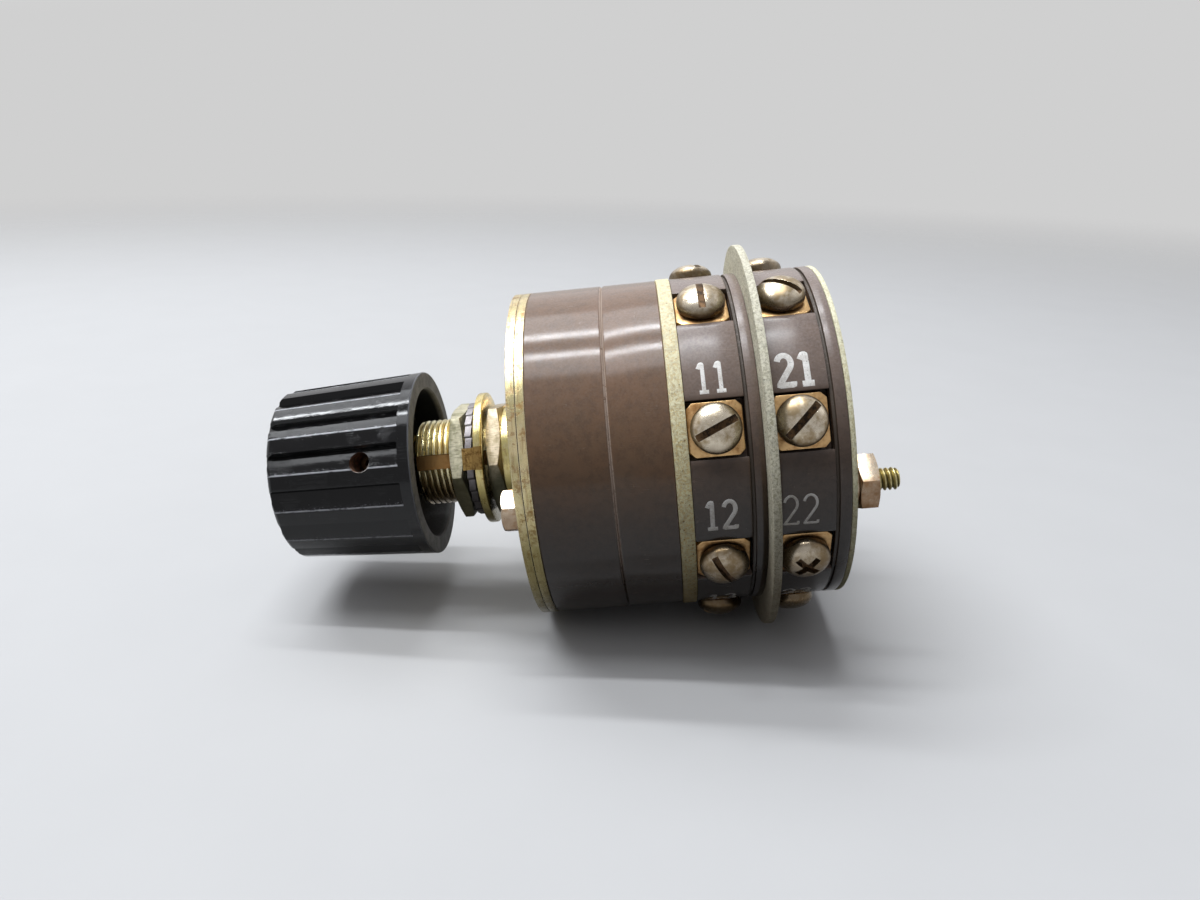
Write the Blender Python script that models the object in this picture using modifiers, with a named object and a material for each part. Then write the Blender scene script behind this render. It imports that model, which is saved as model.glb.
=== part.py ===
"""Rotary wiper switch: fluted knob, panel bushing, detent housing and two decks of screw terminals.

The shaft lies along X, with the knob at -X. The origin is on the shaft's axis, in the plane where the
panel bears on the locating washer. A station is a distance from that plane, positive towards the rear.
Every piece is a child of one empty whose Z is the shaft's axis, so a station is a Z in its frame.
Clock angles are seen from the knob side: 0 points to -Y, and 90 points straight up.
"""

import bpy
import bmesh
from math import atan2, cos, degrees, pi, radians, sin, sqrt
from mathutils import Matrix, Vector

# Clearances
SEAT_GAP = 0.0003          # between two pieces that bear on each other
RUN_GAP = 0.0003           # between a turning piece and what it turns in
SIDE_GAP = 0.00025         # around a piece that drops into a pocket
OVERSHOOT = 0.001          # how far a cutter runs past the surface it opens

# Mesh fineness
ROUND_STEPS = 32
SMALL_STEPS = 20
SCREW_STEPS = 12
HOLE_STEPS = 10
SMOOTH_ANGLE = radians(32)
WELD_DISTANCE = 0.000002

# Shaft and what is carried by it
SHAFT_RADIUS = 0.003175
SHAFT_FLAT_DEPTH = 0.000575     # of the flat under the set screw
SHAFT_DRIVE_DEPTH = 0.000775    # of each of the two flats in the decks
SHAFT_FRONT_COVER = 0.0019      # from the knob's face to the shaft's end
RING_WALL = 0.001325
RING_THICKNESS = 0.00075
RING_STAND_OFF = 0.0007         # from the ring to the bushing
RING_OPENING = 0.003
GROOVE_DEPTH = 0.000575
STAR_SIDE_GAP = 0.0004
STAR_FRONT_SPACE = 0.00192      # between the stop plate and the star, for the stops
STAR_REAR_GAP = 0.00045
NOTCH_DEPTH = 0.0014
NOTCH_HALF_WIDTH = 0.0017
POSITION_STEP = 45.0       # degrees between two switch positions
TURN_MIN = -45.0
TURN_MAX = 90.0

# Knob
KNOB_STAND_OFF = 0.00388        # from the knob's rear rim to the panel nut
KNOB_LENGTH = 0.01957
KNOB_NOSE_BEVEL = 0.00085
KNOB_NOSE_RADIUS = 0.01190
KNOB_NOSE_LENGTH = 0.0007
KNOB_REAR_RADIUS = 0.01290
KNOB_BAND_LENGTH = 0.00162
KNOB_SKIRT_WALL = 0.00237
KNOB_RECESS_DEPTH = 0.0045
FLUTE_COUNT = 15
FLUTE_DEPTH = 0.00085
FLUTE_RAMP = 12.0          # degrees of slope, from a land's edge down to the floor
FLUTE_WALL = 2.0           # degrees of the steep wall back up to the next land
FLUTE_FIRST = 20.0
INSERT_WALL = 0.001225
INSERT_PROUD = 0.0004
INSERT_FRONT_WALL = 0.0021
SET_SCREW_INSET = 0.00677       # from the knob's rear rim
SET_SCREW_ANGLE = 24.0
SET_SCREW_RADIUS = 0.0013
SET_SCREW_LENGTH = 0.0050
SET_SCREW_SOCKET = 0.0007

# Bushing and its nuts and washers
THREAD_RADIUS = 0.00595
THREAD_PROUD = 0.00505          # of the panel nut
BUSHING_SHOULDER_STEP = 0.00095
BUSHING_SHOULDER_LENGTH = 0.00294
BUSHING_SPIGOT_STEP = 0.00095
KEYWAY_WIDTH = 0.0020
KEYWAY_DEPTH = 0.00085
KEYWAY_ANGLE = 20.0
NUT_ACROSS_FLATS = 0.01429
NUT_CHAMFER_SLOPE = 0.36   # rise over run of the turned-off corners
PANEL_NUT_THICKNESS = 0.0019
PANEL_NUT_ANGLE = 3.0
BACKING_NUT_THICKNESS = 0.0019
BACKING_NUT_ANGLE = 12.5
LOCK_WASHER_RADIUS = 0.0079
LOCK_TOOTH_LENGTH = 0.0011
LOCK_WASHER_THICKNESS = 0.00115
LOCK_TOOTH_COUNT = 16
LOCATING_WASHER_STEP = 0.0013   # beyond the lock washer
LOCATING_WASHER_THICKNESS = 0.0011
LUG_WIDTH = 0.0029
LUG_THICKNESS = 0.00095
LUG_PROUD = 0.00005
TONGUE_WIDTH = 0.0014

# Stack of discs and mouldings
BODY_RADIUS = 0.02225
PLATE_THICKNESS = 0.00082
FRONT_HOUSING_LENGTH = 0.00927
REAR_HOUSING_LENGTH = 0.00698
SEAM_CHAMFER = 0.00035
HOUSING_FLOOR = 0.0020
HOUSING_WALL = 0.01005
SPRING_POCKET_DEPTH = 0.0034
SPRING_POCKET_HALF_WIDTH = 0.0082
REAR_RECESS_RADIUS = 0.0080
REAR_RECESS_DEPTH = 0.0020
FRONT_INSULATOR_THICKNESS = 0.00149
FRONT_INSULATOR_PROUD = 0.00015
MIDDLE_INSULATOR_THICKNESS = 0.00074
MIDDLE_INSULATOR_PROUD = 0.0037
REAR_INSULATOR_THICKNESS = 0.00062
INSULATOR_BORE_GAP = 0.000425

# Detent spring and stops
SPRING_THICKNESS = 0.0005
SPRING_WIDTH = 0.0040
STOP_INNER_RADIUS = 0.0063
STOP_OUTER_RADIUS = 0.0087
STOP_HALF_ANGLE = 8.0
STOP_CLEAR_ANGLE = 2.5
STOP_LUG_ANGLE = 60.0
STOP_LUG_GAP = 0.00062          # from the lug to the stop plate
STOP_TAB_GAP = 0.00042          # from the tabs to the star

# Decks
STATOR_LENGTH = 0.0066
STATOR_FLOOR = 0.0015
COVER_THICKNESS = 0.0015
ROTOR_WALL = 0.01045
ROTOR_RIM_WIDTH = 0.0036
POCKETS_PER_DECK = 8
POCKET_FIRST = 22.5
POCKET_WIDTH = 0.00695
POCKET_DEPTH = 0.00195
CONTACT_END_GAP = 0.00005       # along the shaft, from a plate to each end of its pocket
CONTACT_THICKNESS = 0.0012
CONTACT_CORNER = 0.0007
CONTACT_BLOCK_WIDTH = 0.0048
CONTACT_BLOCK_DEPTH = 0.0036
CONTACT_TAIL_WIDTH = 0.0010
CONTACT_TAIL_HEIGHT = 0.0020
CONTACT_TAIL_PROUD = 0.0002
TERMINAL_THREAD_RADIUS = 0.00159
TERMINAL_THREAD_LENGTH = 0.0042
TERMINAL_HEAD_GAP = 0.000475    # around a head, to the pocket's sides
TERMINAL_HEAD_HEIGHT = 0.0024
TERMINAL_HEAD_EDGE = 0.0007
SLOT_WIDTH = 0.0008
SLOT_DEPTH = 0.0010
CROSS_LENGTH = 0.0034

# Through bolts
BOLT_CIRCLE_INSET = 0.00775
BOLT_ANGLE_NEAR = -9.0
BOLT_ANGLE_FAR = 171.0
BOLT_RADIUS = 0.00142
BOLT_HEAD_ACROSS_FLATS = 0.0050
BOLT_HEAD_HEIGHT = 0.0019
BOLT_HEAD_CORNER = 29.0         # the angle that one of its corners points to
BOLT_WASHER_RADIUS = 0.0029
BOLT_WASHER_THICKNESS = 0.0006
BOLT_NUT_ACROSS_FLATS = 0.00665
BOLT_NUT_THICKNESS = 0.0023
BOLT_NUT_WASHERS = 0.0012
BOLT_NUT_CORNER = 22.0
BOLT_NUT_WASHER_RADIUS = 0.0033
BOLT_TIP_LENGTH = 0.0030

# The slots as they stand in the photograph, in degrees from the shaft's direction
SLOT_ANGLES = {"11": 24.0, "21": 44.0, "18": 90.0, "28": -32.0, "12": -62.0}
CROSS_HEADS = ("22",)
SLOT_ANGLE_STEP = 37.0

# Stations, worked out from the thicknesses above
LOCK_WASHER_START = -SEAT_GAP - LOCK_WASHER_THICKNESS
PANEL_NUT_START = LOCK_WASHER_START - SEAT_GAP - PANEL_NUT_THICKNESS
BUSHING_FRONT = PANEL_NUT_START - THREAD_PROUD
RING_START = BUSHING_FRONT - RING_STAND_OFF - RING_THICKNESS
KNOB_REAR = PANEL_NUT_START - KNOB_STAND_OFF
KNOB_FRONT = KNOB_REAR - KNOB_LENGTH
RECESS_FLOOR = KNOB_REAR - KNOB_RECESS_DEPTH
SET_SCREW_STATION = KNOB_REAR - SET_SCREW_INSET
SHAFT_FRONT = KNOB_FRONT + SHAFT_FRONT_COVER
BACKING_NUT_START = LOCATING_WASHER_THICKNESS + SEAT_GAP
SHOULDER_START = BACKING_NUT_START + BACKING_NUT_THICKNESS + SEAT_GAP
FRONT_PLATE_START = SHOULDER_START + BUSHING_SHOULDER_LENGTH + SEAT_GAP
STOP_PLATE_START = FRONT_PLATE_START + PLATE_THICKNESS + SEAT_GAP
FRONT_HOUSING_START = STOP_PLATE_START + PLATE_THICKNESS + SEAT_GAP
REAR_HOUSING_START = FRONT_HOUSING_START + FRONT_HOUSING_LENGTH + SEAT_GAP
FRONT_INSULATOR_START = REAR_HOUSING_START + REAR_HOUSING_LENGTH + SEAT_GAP
DECK_1_START = FRONT_INSULATOR_START + FRONT_INSULATOR_THICKNESS + SEAT_GAP
DECK_LENGTH = STATOR_LENGTH + SEAT_GAP + COVER_THICKNESS
MIDDLE_INSULATOR_START = DECK_1_START + DECK_LENGTH + SEAT_GAP
DECK_2_START = MIDDLE_INSULATOR_START + MIDDLE_INSULATOR_THICKNESS + SEAT_GAP
REAR_INSULATOR_START = DECK_2_START + DECK_LENGTH + SEAT_GAP
STACK_END = REAR_INSULATOR_START + REAR_INSULATOR_THICKNESS
CHAMBER_FLOOR = FRONT_HOUSING_START + FRONT_HOUSING_LENGTH - HOUSING_FLOOR
STAR_START = FRONT_HOUSING_START + STAR_FRONT_SPACE
STAR_END = CHAMBER_FLOOR - STAR_REAR_GAP
STAR_MIDDLE = (STAR_START + STAR_END) / 2
STOP_LUG_START = FRONT_HOUSING_START + STOP_LUG_GAP
STOP_TAB_END = STAR_START - STOP_TAB_GAP

# Radii, worked out from the shaft, the thread and the body
SHAFT_BORE_RADIUS = SHAFT_RADIUS + RUN_GAP
SHAFT_FLAT = SHAFT_RADIUS - SHAFT_FLAT_DEPTH
SHAFT_DRIVE_FLAT = SHAFT_RADIUS - SHAFT_DRIVE_DEPTH
GROOVE_RADIUS = SHAFT_RADIUS - GROOVE_DEPTH
RING_RADIUS = SHAFT_RADIUS + RING_WALL
INSERT_RADIUS = SHAFT_BORE_RADIUS + INSERT_WALL
INSULATOR_BORE_RADIUS = SHAFT_BORE_RADIUS + INSULATOR_BORE_GAP
KNOB_FACE_RADIUS = KNOB_NOSE_RADIUS - KNOB_NOSE_BEVEL
KNOB_RECESS_RADIUS = KNOB_REAR_RADIUS - KNOB_SKIRT_WALL
NUT_BORE_RADIUS = THREAD_RADIUS + SEAT_GAP
KEYWAY_RADIUS = THREAD_RADIUS - KEYWAY_DEPTH
BUSHING_SHOULDER_RADIUS = THREAD_RADIUS + BUSHING_SHOULDER_STEP
BUSHING_SPIGOT_RADIUS = THREAD_RADIUS - BUSHING_SPIGOT_STEP
PLATE_BORE_RADIUS = BUSHING_SPIGOT_RADIUS + SEAT_GAP
LOCK_WASHER_ROOT = LOCK_WASHER_RADIUS - LOCK_TOOTH_LENGTH
LOCATING_WASHER_RADIUS = LOCK_WASHER_RADIUS + LOCATING_WASHER_STEP
FRONT_INSULATOR_RADIUS = BODY_RADIUS + FRONT_INSULATOR_PROUD
MIDDLE_INSULATOR_RADIUS = BODY_RADIUS + MIDDLE_INSULATOR_PROUD
CHAMBER_RADIUS = BODY_RADIUS - HOUSING_WALL
STAR_RADIUS = CHAMBER_RADIUS - STAR_SIDE_GAP
BOLT_CIRCLE_RADIUS = BODY_RADIUS - BOLT_CIRCLE_INSET
BOLT_HOLE_RADIUS = BOLT_RADIUS + SEAT_GAP
ROTOR_CHAMBER_RADIUS = BODY_RADIUS - ROTOR_WALL
ROTOR_RADIUS = ROTOR_CHAMBER_RADIUS - CONTACT_TAIL_PROUD - RUN_GAP
POCKET_FLOOR = BODY_RADIUS - POCKET_DEPTH
CONTACT_SEAT = POCKET_FLOOR + SEAT_GAP
HEAD_SEAT = CONTACT_SEAT + CONTACT_THICKNESS + SEAT_GAP
CONTACT_LENGTH = STATOR_LENGTH - 2 * CONTACT_END_GAP
TERMINAL_HEAD_RADIUS = POCKET_WIDTH / 2 - TERMINAL_HEAD_GAP

PARTS_NAME = "wiper_switch"


def new_collection(name):
    collection = bpy.data.collections.new(name)
    bpy.context.scene.collection.children.link(collection)
    return collection


def clear_scene():
    for old in list(bpy.data.objects):
        bpy.data.objects.remove(old)


def new_empty(name, parent=None):
    empty = bpy.data.objects.new(name, None)
    parts.objects.link(empty)
    empty.parent = parent
    empty.empty_display_size = BODY_RADIUS
    return empty


def make_material(name, colour, roughness, metallic):
    material = bpy.data.materials.new(name)
    material.use_nodes = True
    shader = material.node_tree.nodes["Principled BSDF"]
    shader.inputs["Base Color"].default_value = (*colour, 1.0)
    shader.inputs["Roughness"].default_value = roughness
    shader.inputs["Metallic"].default_value = metallic
    return material


def new_object(name, mesh, collection):
    made = bpy.data.objects.new(name, mesh)
    collection.objects.link(made)
    return made


def evaluated_mesh(source):
    bpy.context.view_layer.update()
    depsgraph = bpy.context.evaluated_depsgraph_get()
    return bpy.data.meshes.new_from_object(source.evaluated_get(depsgraph))


def as_cutter(cutter):
    """Move an object to the cutters, where it shapes others and isn't a part itself."""
    for owner in list(cutter.users_collection):
        owner.objects.unlink(cutter)
    cutters.objects.link(cutter)
    cutter.hide_render = True
    cutter.display_type = "WIRE"
    return cutter


def boolean(body, tool, operation):
    as_cutter(tool)
    step = body.modifiers.new(tool.name, "BOOLEAN")
    step.object = tool
    step.operation = operation
    step.solver = "EXACT"
    return body


def cut(body, *tools):
    for tool in tools:
        boolean(body, tool, "DIFFERENCE")
    return body


def join(body, *tools):
    for tool in tools:
        boolean(body, tool, "UNION")
    return body


def keep_common(body, tool):
    return boolean(body, tool, "INTERSECT")


def settle(body):
    """Turn the modifiers into plain mesh, in the object's own frame."""
    mesh = evaluated_mesh(body)
    body.modifiers.clear()
    body.data = mesh
    return body


def finish(body, material, parent):
    """Settle a part, shade its round faces smooth and hang it on its parent."""
    settle(body)
    mesh = body.data
    mesh.name = body.name
    mesh.shade_smooth()
    mesh.set_sharp_from_angle(angle=SMOOTH_ANGLE)
    mesh.materials.clear()
    mesh.materials.append(material)
    body.parent = parent
    return body


def turned(name, outline, closed=True, steps=ROUND_STEPS):
    """A body of revolution about Z from (radius, station) points that run down its outer side."""
    mesh = bpy.data.meshes.new(name)
    count = len(outline)
    edges = [(i, i + 1) for i in range(count - 1)]
    if closed:
        edges.append((count - 1, 0))
    mesh.from_pydata([(radius, 0.0, station) for radius, station in outline], edges, [])
    body = new_object(name, mesh, parts)
    screw = body.modifiers.new("turn", "SCREW")
    screw.axis = "Z"
    screw.steps = steps
    screw.render_steps = steps
    screw.use_merge_vertices = True
    screw.merge_threshold = WELD_DISTANCE
    return settle(body)


def disc(name, radius, start, end, steps=ROUND_STEPS):
    outline = [(0.0, end), (radius, end), (radius, start), (0.0, start)]
    return turned(name, outline, closed=False, steps=steps)


def ring(name, inner, outer, start, end, steps=ROUND_STEPS):
    outline = [(outer, end), (outer, start), (inner, start), (inner, end)]
    return turned(name, outline, steps=steps)


def prism(name, outline, start, end):
    """A flat outline of (x, y) points made solid from one station to another."""
    curve = bpy.data.curves.new(name, "CURVE")
    curve.dimensions = "2D"
    curve.fill_mode = "BOTH"
    curve.extrude = (end - start) / 2
    spline = curve.splines.new("POLY")
    spline.points.add(len(outline) - 1)
    for point, (x, y) in zip(spline.points, outline):
        point.co = (x, y, 0.0, 1.0)
    spline.use_cyclic_u = True
    flat = new_object(name + "_outline", curve, parts)
    mesh = evaluated_mesh(flat)
    bpy.data.objects.remove(flat)
    solid = bmesh.new()
    solid.from_mesh(mesh)
    bmesh.ops.remove_doubles(solid, verts=solid.verts, dist=WELD_DISTANCE)
    bmesh.ops.translate(solid, verts=solid.verts, vec=(0.0, 0.0, (start + end) / 2))
    bmesh.ops.recalc_face_normals(solid, faces=solid.faces)
    solid.to_mesh(mesh)
    solid.free()
    return new_object(name, mesh, parts)


def shapes(name, makers):
    """One mesh from several calls that each add a closed shape to it."""
    solid = bmesh.new()
    for maker in makers:
        maker(solid)
    mesh = bpy.data.meshes.new(name)
    solid.to_mesh(mesh)
    solid.free()
    return new_object(name, mesh, parts)


def add_box(solid, low, high, matrix=Matrix()):
    size = [b - a for a, b in zip(low, high)]
    middle = Vector([(a + b) / 2 for a, b in zip(low, high)])
    scale = Matrix.Diagonal((*size, 1.0))
    bmesh.ops.create_cube(solid, size=1.0, matrix=matrix @ Matrix.Translation(middle) @ scale)


def add_rod(solid, radius, start, end, matrix=Matrix(), steps=HOLE_STEPS):
    shift = Matrix.Translation((0.0, 0.0, (start + end) / 2))
    bmesh.ops.create_cone(solid, cap_ends=True, segments=steps, radius1=radius, radius2=radius,
                          depth=end - start, matrix=matrix @ shift)


def clock(angle):
    """The turn about the shaft that brings +X to a clock angle, in radians."""
    return -pi / 2 - radians(angle)


def at_clock(angle):
    return Matrix.Rotation(clock(angle), 4, "Z")


def radially(angle, station):
    """The frame whose Z points outwards at a clock angle, with X along the shaft to the front."""
    return at_clock(angle) @ Matrix.Translation((0.0, 0.0, station)) @ Matrix.Rotation(pi / 2, 4, "Y")


def place_radially(body, angle, station):
    body.location = (0.0, 0.0, station)
    body.rotation_euler = (0.0, pi / 2, clock(angle))
    return body


def polar(radius, angle):
    return (radius * cos(radians(angle)), radius * sin(radians(angle)))


def sector(inner, outer, middle, half_angle, steps=3):
    """The outline of a ring's sector, with its arcs in a few chords."""
    angles = [middle - half_angle + 2 * half_angle * i / steps for i in range(steps + 1)]
    return [polar(outer, a) for a in angles] + [polar(inner, a) for a in reversed(angles)]


def bolt_angles():
    return (BOLT_ANGLE_NEAR, BOLT_ANGLE_FAR)


def bolt_holes(name, start, end):
    """Cutter for the two through bolts' holes."""
    def hole(angle):
        spot = at_clock(angle) @ Matrix.Translation((BOLT_CIRCLE_RADIUS, 0.0, 0.0))
        return lambda solid: add_rod(solid, BOLT_HOLE_RADIUS, start - OVERSHOOT, end + OVERSHOOT, spot)
    return shapes(name + "_bolt_holes", [hole(angle) for angle in bolt_angles()])


def hexagon(name, across_flats, start, end, corner_angle):
    """A hexagon prism with its corners turned off at both ends."""
    corner = across_flats / sqrt(3)
    body = prism(name, [polar(corner, corner_angle + 60 * i) for i in range(6)], start, end)
    flat = across_flats / 2
    rise = flat * NUT_CHAMFER_SLOPE
    run = corner + (corner - flat)
    drop = (run - flat) * NUT_CHAMFER_SLOPE
    outline = [(0.0, end + rise), (run, end - drop), (run, start + drop), (0.0, start - rise)]
    return keep_common(body, turned(name + "_turning", outline, closed=False, steps=SMALL_STEPS))


def make_shaft():
    end = DECK_2_START + STATOR_LENGTH + SEAT_GAP + COVER_THICKNESS
    groove_start = RING_START - SEAT_GAP
    groove_end = RING_START + RING_THICKNESS + SEAT_GAP
    outline = [(0.0, end), (SHAFT_RADIUS, end), (SHAFT_RADIUS, STAR_END), (STAR_RADIUS, STAR_END),
               (STAR_RADIUS, STAR_START), (SHAFT_RADIUS, STAR_START), (SHAFT_RADIUS, groove_end),
               (GROOVE_RADIUS, groove_end), (GROOVE_RADIUS, groove_start), (SHAFT_RADIUS, groove_start),
               (SHAFT_RADIUS, SHAFT_FRONT), (0.0, SHAFT_FRONT)]
    shaft = turned("shaft", outline, closed=False)

    def notch(angle):
        side = NOTCH_HALF_WIDTH * sqrt(2)
        spot = Matrix.Translation((STAR_RADIUS - NOTCH_DEPTH, 0.0, 0.0)) @ Matrix.Rotation(-pi / 4, 4, "Z")
        return lambda solid: add_box(solid, (0.0, 0.0, STAR_START - OVERSHOOT),
                                     (side, side, STAR_END + OVERSHOOT), at_clock(angle) @ spot)

    notch_count = round(360 / POSITION_STEP)
    notches = shapes("star_notches", [notch(90 + POSITION_STEP * i) for i in range(notch_count)])
    lug = prism("stop_lug", sector(STOP_INNER_RADIUS, STOP_OUTER_RADIUS, STOP_LUG_ANGLE, STOP_HALF_ANGLE),
                STOP_LUG_START, STAR_MIDDLE)
    flat = shapes("set_screw_flat", [lambda solid: add_box(
        solid, (SHAFT_FLAT, -SHAFT_RADIUS, SHAFT_FRONT - OVERSHOOT),
        (SHAFT_RADIUS + OVERSHOOT, SHAFT_RADIUS, RECESS_FLOOR), at_clock(SET_SCREW_ANGLE))])

    def drive_flat(side):
        return lambda solid: add_box(
            solid, (-SHAFT_RADIUS, SHAFT_DRIVE_FLAT, DECK_1_START + STATOR_FLOOR),
            (SHAFT_RADIUS, SHAFT_RADIUS + OVERSHOOT, end - COVER_THICKNESS),
            Matrix.Rotation(pi * side, 4, "Z"))

    flats = shapes("drive_flats", [drive_flat(0), drive_flat(1)])
    cut(shaft, notches, flat, flats)
    join(shaft, lug)
    return finish(shaft, steel, turning)


def make_retaining_ring():
    body = ring("retaining_ring", GROOVE_RADIUS + SEAT_GAP, RING_RADIUS, RING_START,
                RING_START + RING_THICKNESS, SMALL_STEPS)
    opening = shapes("ring_opening", [lambda solid: add_box(
        solid, (0.0, -RING_OPENING / 2, RING_START - OVERSHOOT),
        (RING_RADIUS + OVERSHOOT, RING_OPENING / 2, RING_START + RING_THICKNESS + OVERSHOOT))])
    return finish(cut(body, opening), brass, turning)


def flute_cutter():
    """The saw-tooth flutes: long prisms that follow the knob's taper."""
    length = KNOB_LENGTH - KNOB_BAND_LENGTH
    slope = atan2(KNOB_REAR_RADIUS - KNOB_NOSE_RADIUS, KNOB_LENGTH - KNOB_NOSE_LENGTH)
    rear_radius = KNOB_REAR_RADIUS - KNOB_BAND_LENGTH * sin(slope)
    reach = length + OVERSHOOT * 2

    def flute(angle):
        def add(solid):
            edge = (rear_radius, 0.0)
            sweep = radians(FLUTE_RAMP)
            far = radians(FLUTE_RAMP + FLUTE_WALL)
            floor = rear_radius - FLUTE_DEPTH
            points = [edge, (floor * cos(sweep), floor * sin(sweep)),
                      (rear_radius * cos(far), rear_radius * sin(far)),
                      ((rear_radius + OVERSHOOT) * cos(far), (rear_radius + OVERSHOOT) * sin(far)),
                      (rear_radius + OVERSHOOT, 0.0)]
            verts = [solid.verts.new((x, -y, 0.0)) for x, y in points]
            face = solid.faces.new(verts)
            grown = bmesh.ops.extrude_face_region(solid, geom=[face])
            moved = [item for item in grown["geom"] if isinstance(item, bmesh.types.BMVert)]
            middle = sum((v.co for v in verts), Vector()) / len(verts)
            lean = Vector((middle.x, middle.y, 0.0)).normalized() * (-reach * sin(slope))
            bmesh.ops.translate(solid, verts=moved, vec=(lean.x, lean.y, -reach))
            place = at_clock(angle) @ Matrix.Translation((0.0, 0.0, KNOB_REAR - KNOB_BAND_LENGTH))
            bmesh.ops.transform(solid, matrix=place, verts=verts + moved)
            bmesh.ops.recalc_face_normals(solid, faces=solid.faces)
        return add

    pitch = 360 / FLUTE_COUNT
    return shapes("flutes", [flute(FLUTE_FIRST + pitch * i) for i in range(FLUTE_COUNT)])


def make_knob():
    nose_end = KNOB_FRONT + KNOB_NOSE_LENGTH
    bore = INSERT_RADIUS + SEAT_GAP
    bore_end = SHAFT_FRONT - SEAT_GAP
    outline = [(KNOB_RECESS_RADIUS, KNOB_REAR), (KNOB_REAR_RADIUS, KNOB_REAR), (KNOB_NOSE_RADIUS, nose_end),
               (KNOB_FACE_RADIUS, KNOB_FRONT), (0.0, KNOB_FRONT)]
    inside = [(0.0, bore_end), (bore, bore_end), (bore, RECESS_FLOOR), (KNOB_RECESS_RADIUS, RECESS_FLOOR)]
    knob = turned("knob", outline + inside + outline[:1], closed=False, steps=FLUTE_COUNT * 3)
    hole = shapes("set_screw_hole", [lambda solid: add_rod(
        solid, SET_SCREW_RADIUS + SEAT_GAP, 0.0, KNOB_REAR_RADIUS + OVERSHOOT,
        radially(SET_SCREW_ANGLE, SET_SCREW_STATION))])
    cut(knob, flute_cutter(), hole)
    return finish(knob, black_phenolic, turning)


def make_knob_insert():
    start = SHAFT_FRONT + INSERT_FRONT_WALL
    end = RECESS_FLOOR + INSERT_PROUD
    body = ring("knob_insert", SHAFT_BORE_RADIUS, INSERT_RADIUS, start, end, SMALL_STEPS)
    hole = shapes("insert_screw_hole", [lambda solid: add_rod(
        solid, SET_SCREW_RADIUS + SEAT_GAP, 0.0, INSERT_RADIUS + OVERSHOOT,
        radially(SET_SCREW_ANGLE, SET_SCREW_STATION))])
    return finish(cut(body, hole), brass, turning)


def make_set_screw():
    start = SHAFT_FLAT + SEAT_GAP
    end = start + SET_SCREW_LENGTH
    body = disc("set_screw", SET_SCREW_RADIUS, start, end, SCREW_STEPS)
    socket = prism("set_screw_socket", [polar(SET_SCREW_SOCKET, 60 * i) for i in range(6)],
                   end - SET_SCREW_RADIUS, end + OVERSHOOT)
    cut(body, socket)
    finish(body, steel, turning)
    return place_radially(body, SET_SCREW_ANGLE, SET_SCREW_STATION)


def make_bushing():
    spigot_end = FRONT_HOUSING_START
    shoulder_end = SHOULDER_START + BUSHING_SHOULDER_LENGTH
    outline = [(BUSHING_SPIGOT_RADIUS, spigot_end), (BUSHING_SPIGOT_RADIUS, shoulder_end),
               (BUSHING_SHOULDER_RADIUS, shoulder_end), (BUSHING_SHOULDER_RADIUS, SHOULDER_START),
               (THREAD_RADIUS, SHOULDER_START), (THREAD_RADIUS, BUSHING_FRONT),
               (SHAFT_BORE_RADIUS, BUSHING_FRONT), (SHAFT_BORE_RADIUS, spigot_end)]
    body = turned("bushing", outline, steps=ROUND_STEPS)
    keyway = shapes("keyway", [lambda solid: add_box(
        solid, (KEYWAY_RADIUS, -KEYWAY_WIDTH / 2, BUSHING_FRONT - OVERSHOOT),
        (THREAD_RADIUS + OVERSHOOT, KEYWAY_WIDTH / 2, SHOULDER_START), at_clock(KEYWAY_ANGLE))])
    return finish(cut(body, keyway), brass, shaft_line)


def make_bushing_nut(name, start, thickness, corner_angle):
    end = start + thickness
    body = hexagon(name, NUT_ACROSS_FLATS, start, end, degrees(clock(corner_angle)))
    bore = disc(name + "_bore", NUT_BORE_RADIUS, start - OVERSHOOT, end + OVERSHOOT, SMALL_STEPS)
    return finish(cut(body, bore), zinc, shaft_line)


def make_lock_washer():
    start = LOCK_WASHER_START
    end = start + LOCK_WASHER_THICKNESS
    body = ring("lock_washer", NUT_BORE_RADIUS, LOCK_WASHER_RADIUS, start, end, LOCK_TOOTH_COUNT * 2)

    def gap(angle):
        half = LOCK_WASHER_RADIUS * sin(pi / LOCK_TOOTH_COUNT) / 4
        return lambda solid: add_box(solid, (LOCK_WASHER_ROOT, -half, start - OVERSHOOT),
                                     (LOCK_WASHER_RADIUS + OVERSHOOT, half, end + OVERSHOOT),
                                     at_clock(angle))

    pitch = 360 / LOCK_TOOTH_COUNT
    gaps = shapes("tooth_gaps", [gap(pitch * (i + 0.5)) for i in range(LOCK_TOOTH_COUNT)])
    return finish(cut(body, gaps), zinc, shaft_line)


def make_locating_washer():
    body = ring("locating_washer", NUT_BORE_RADIUS, LOCATING_WASHER_RADIUS, 0.0, LOCATING_WASHER_THICKNESS)
    turn = at_clock(KEYWAY_ANGLE)
    lug = shapes("washer_lug", [lambda solid: add_box(
        solid, (LOCATING_WASHER_RADIUS - LUG_THICKNESS, -LUG_WIDTH / 2, LOCK_WASHER_START - LUG_PROUD),
        (LOCATING_WASHER_RADIUS, LUG_WIDTH / 2, LOCATING_WASHER_THICKNESS / 2), turn)])
    tongue = shapes("washer_tongue", [lambda solid: add_box(
        solid, (KEYWAY_RADIUS + SEAT_GAP, -TONGUE_WIDTH / 2, 0.0),
        (NUT_BORE_RADIUS + OVERSHOOT, TONGUE_WIDTH / 2, LOCATING_WASHER_THICKNESS), turn)])
    return finish(join(body, lug, tongue), gold_plate, shaft_line)


def stop_tab_angles():
    """Where the two stops stand, so that the lug meets them at the ends of its travel."""
    spread = 2 * STOP_HALF_ANGLE + STOP_CLEAR_ANGLE
    return (STOP_LUG_ANGLE + TURN_MIN - spread, STOP_LUG_ANGLE + TURN_MAX + spread)


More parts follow.
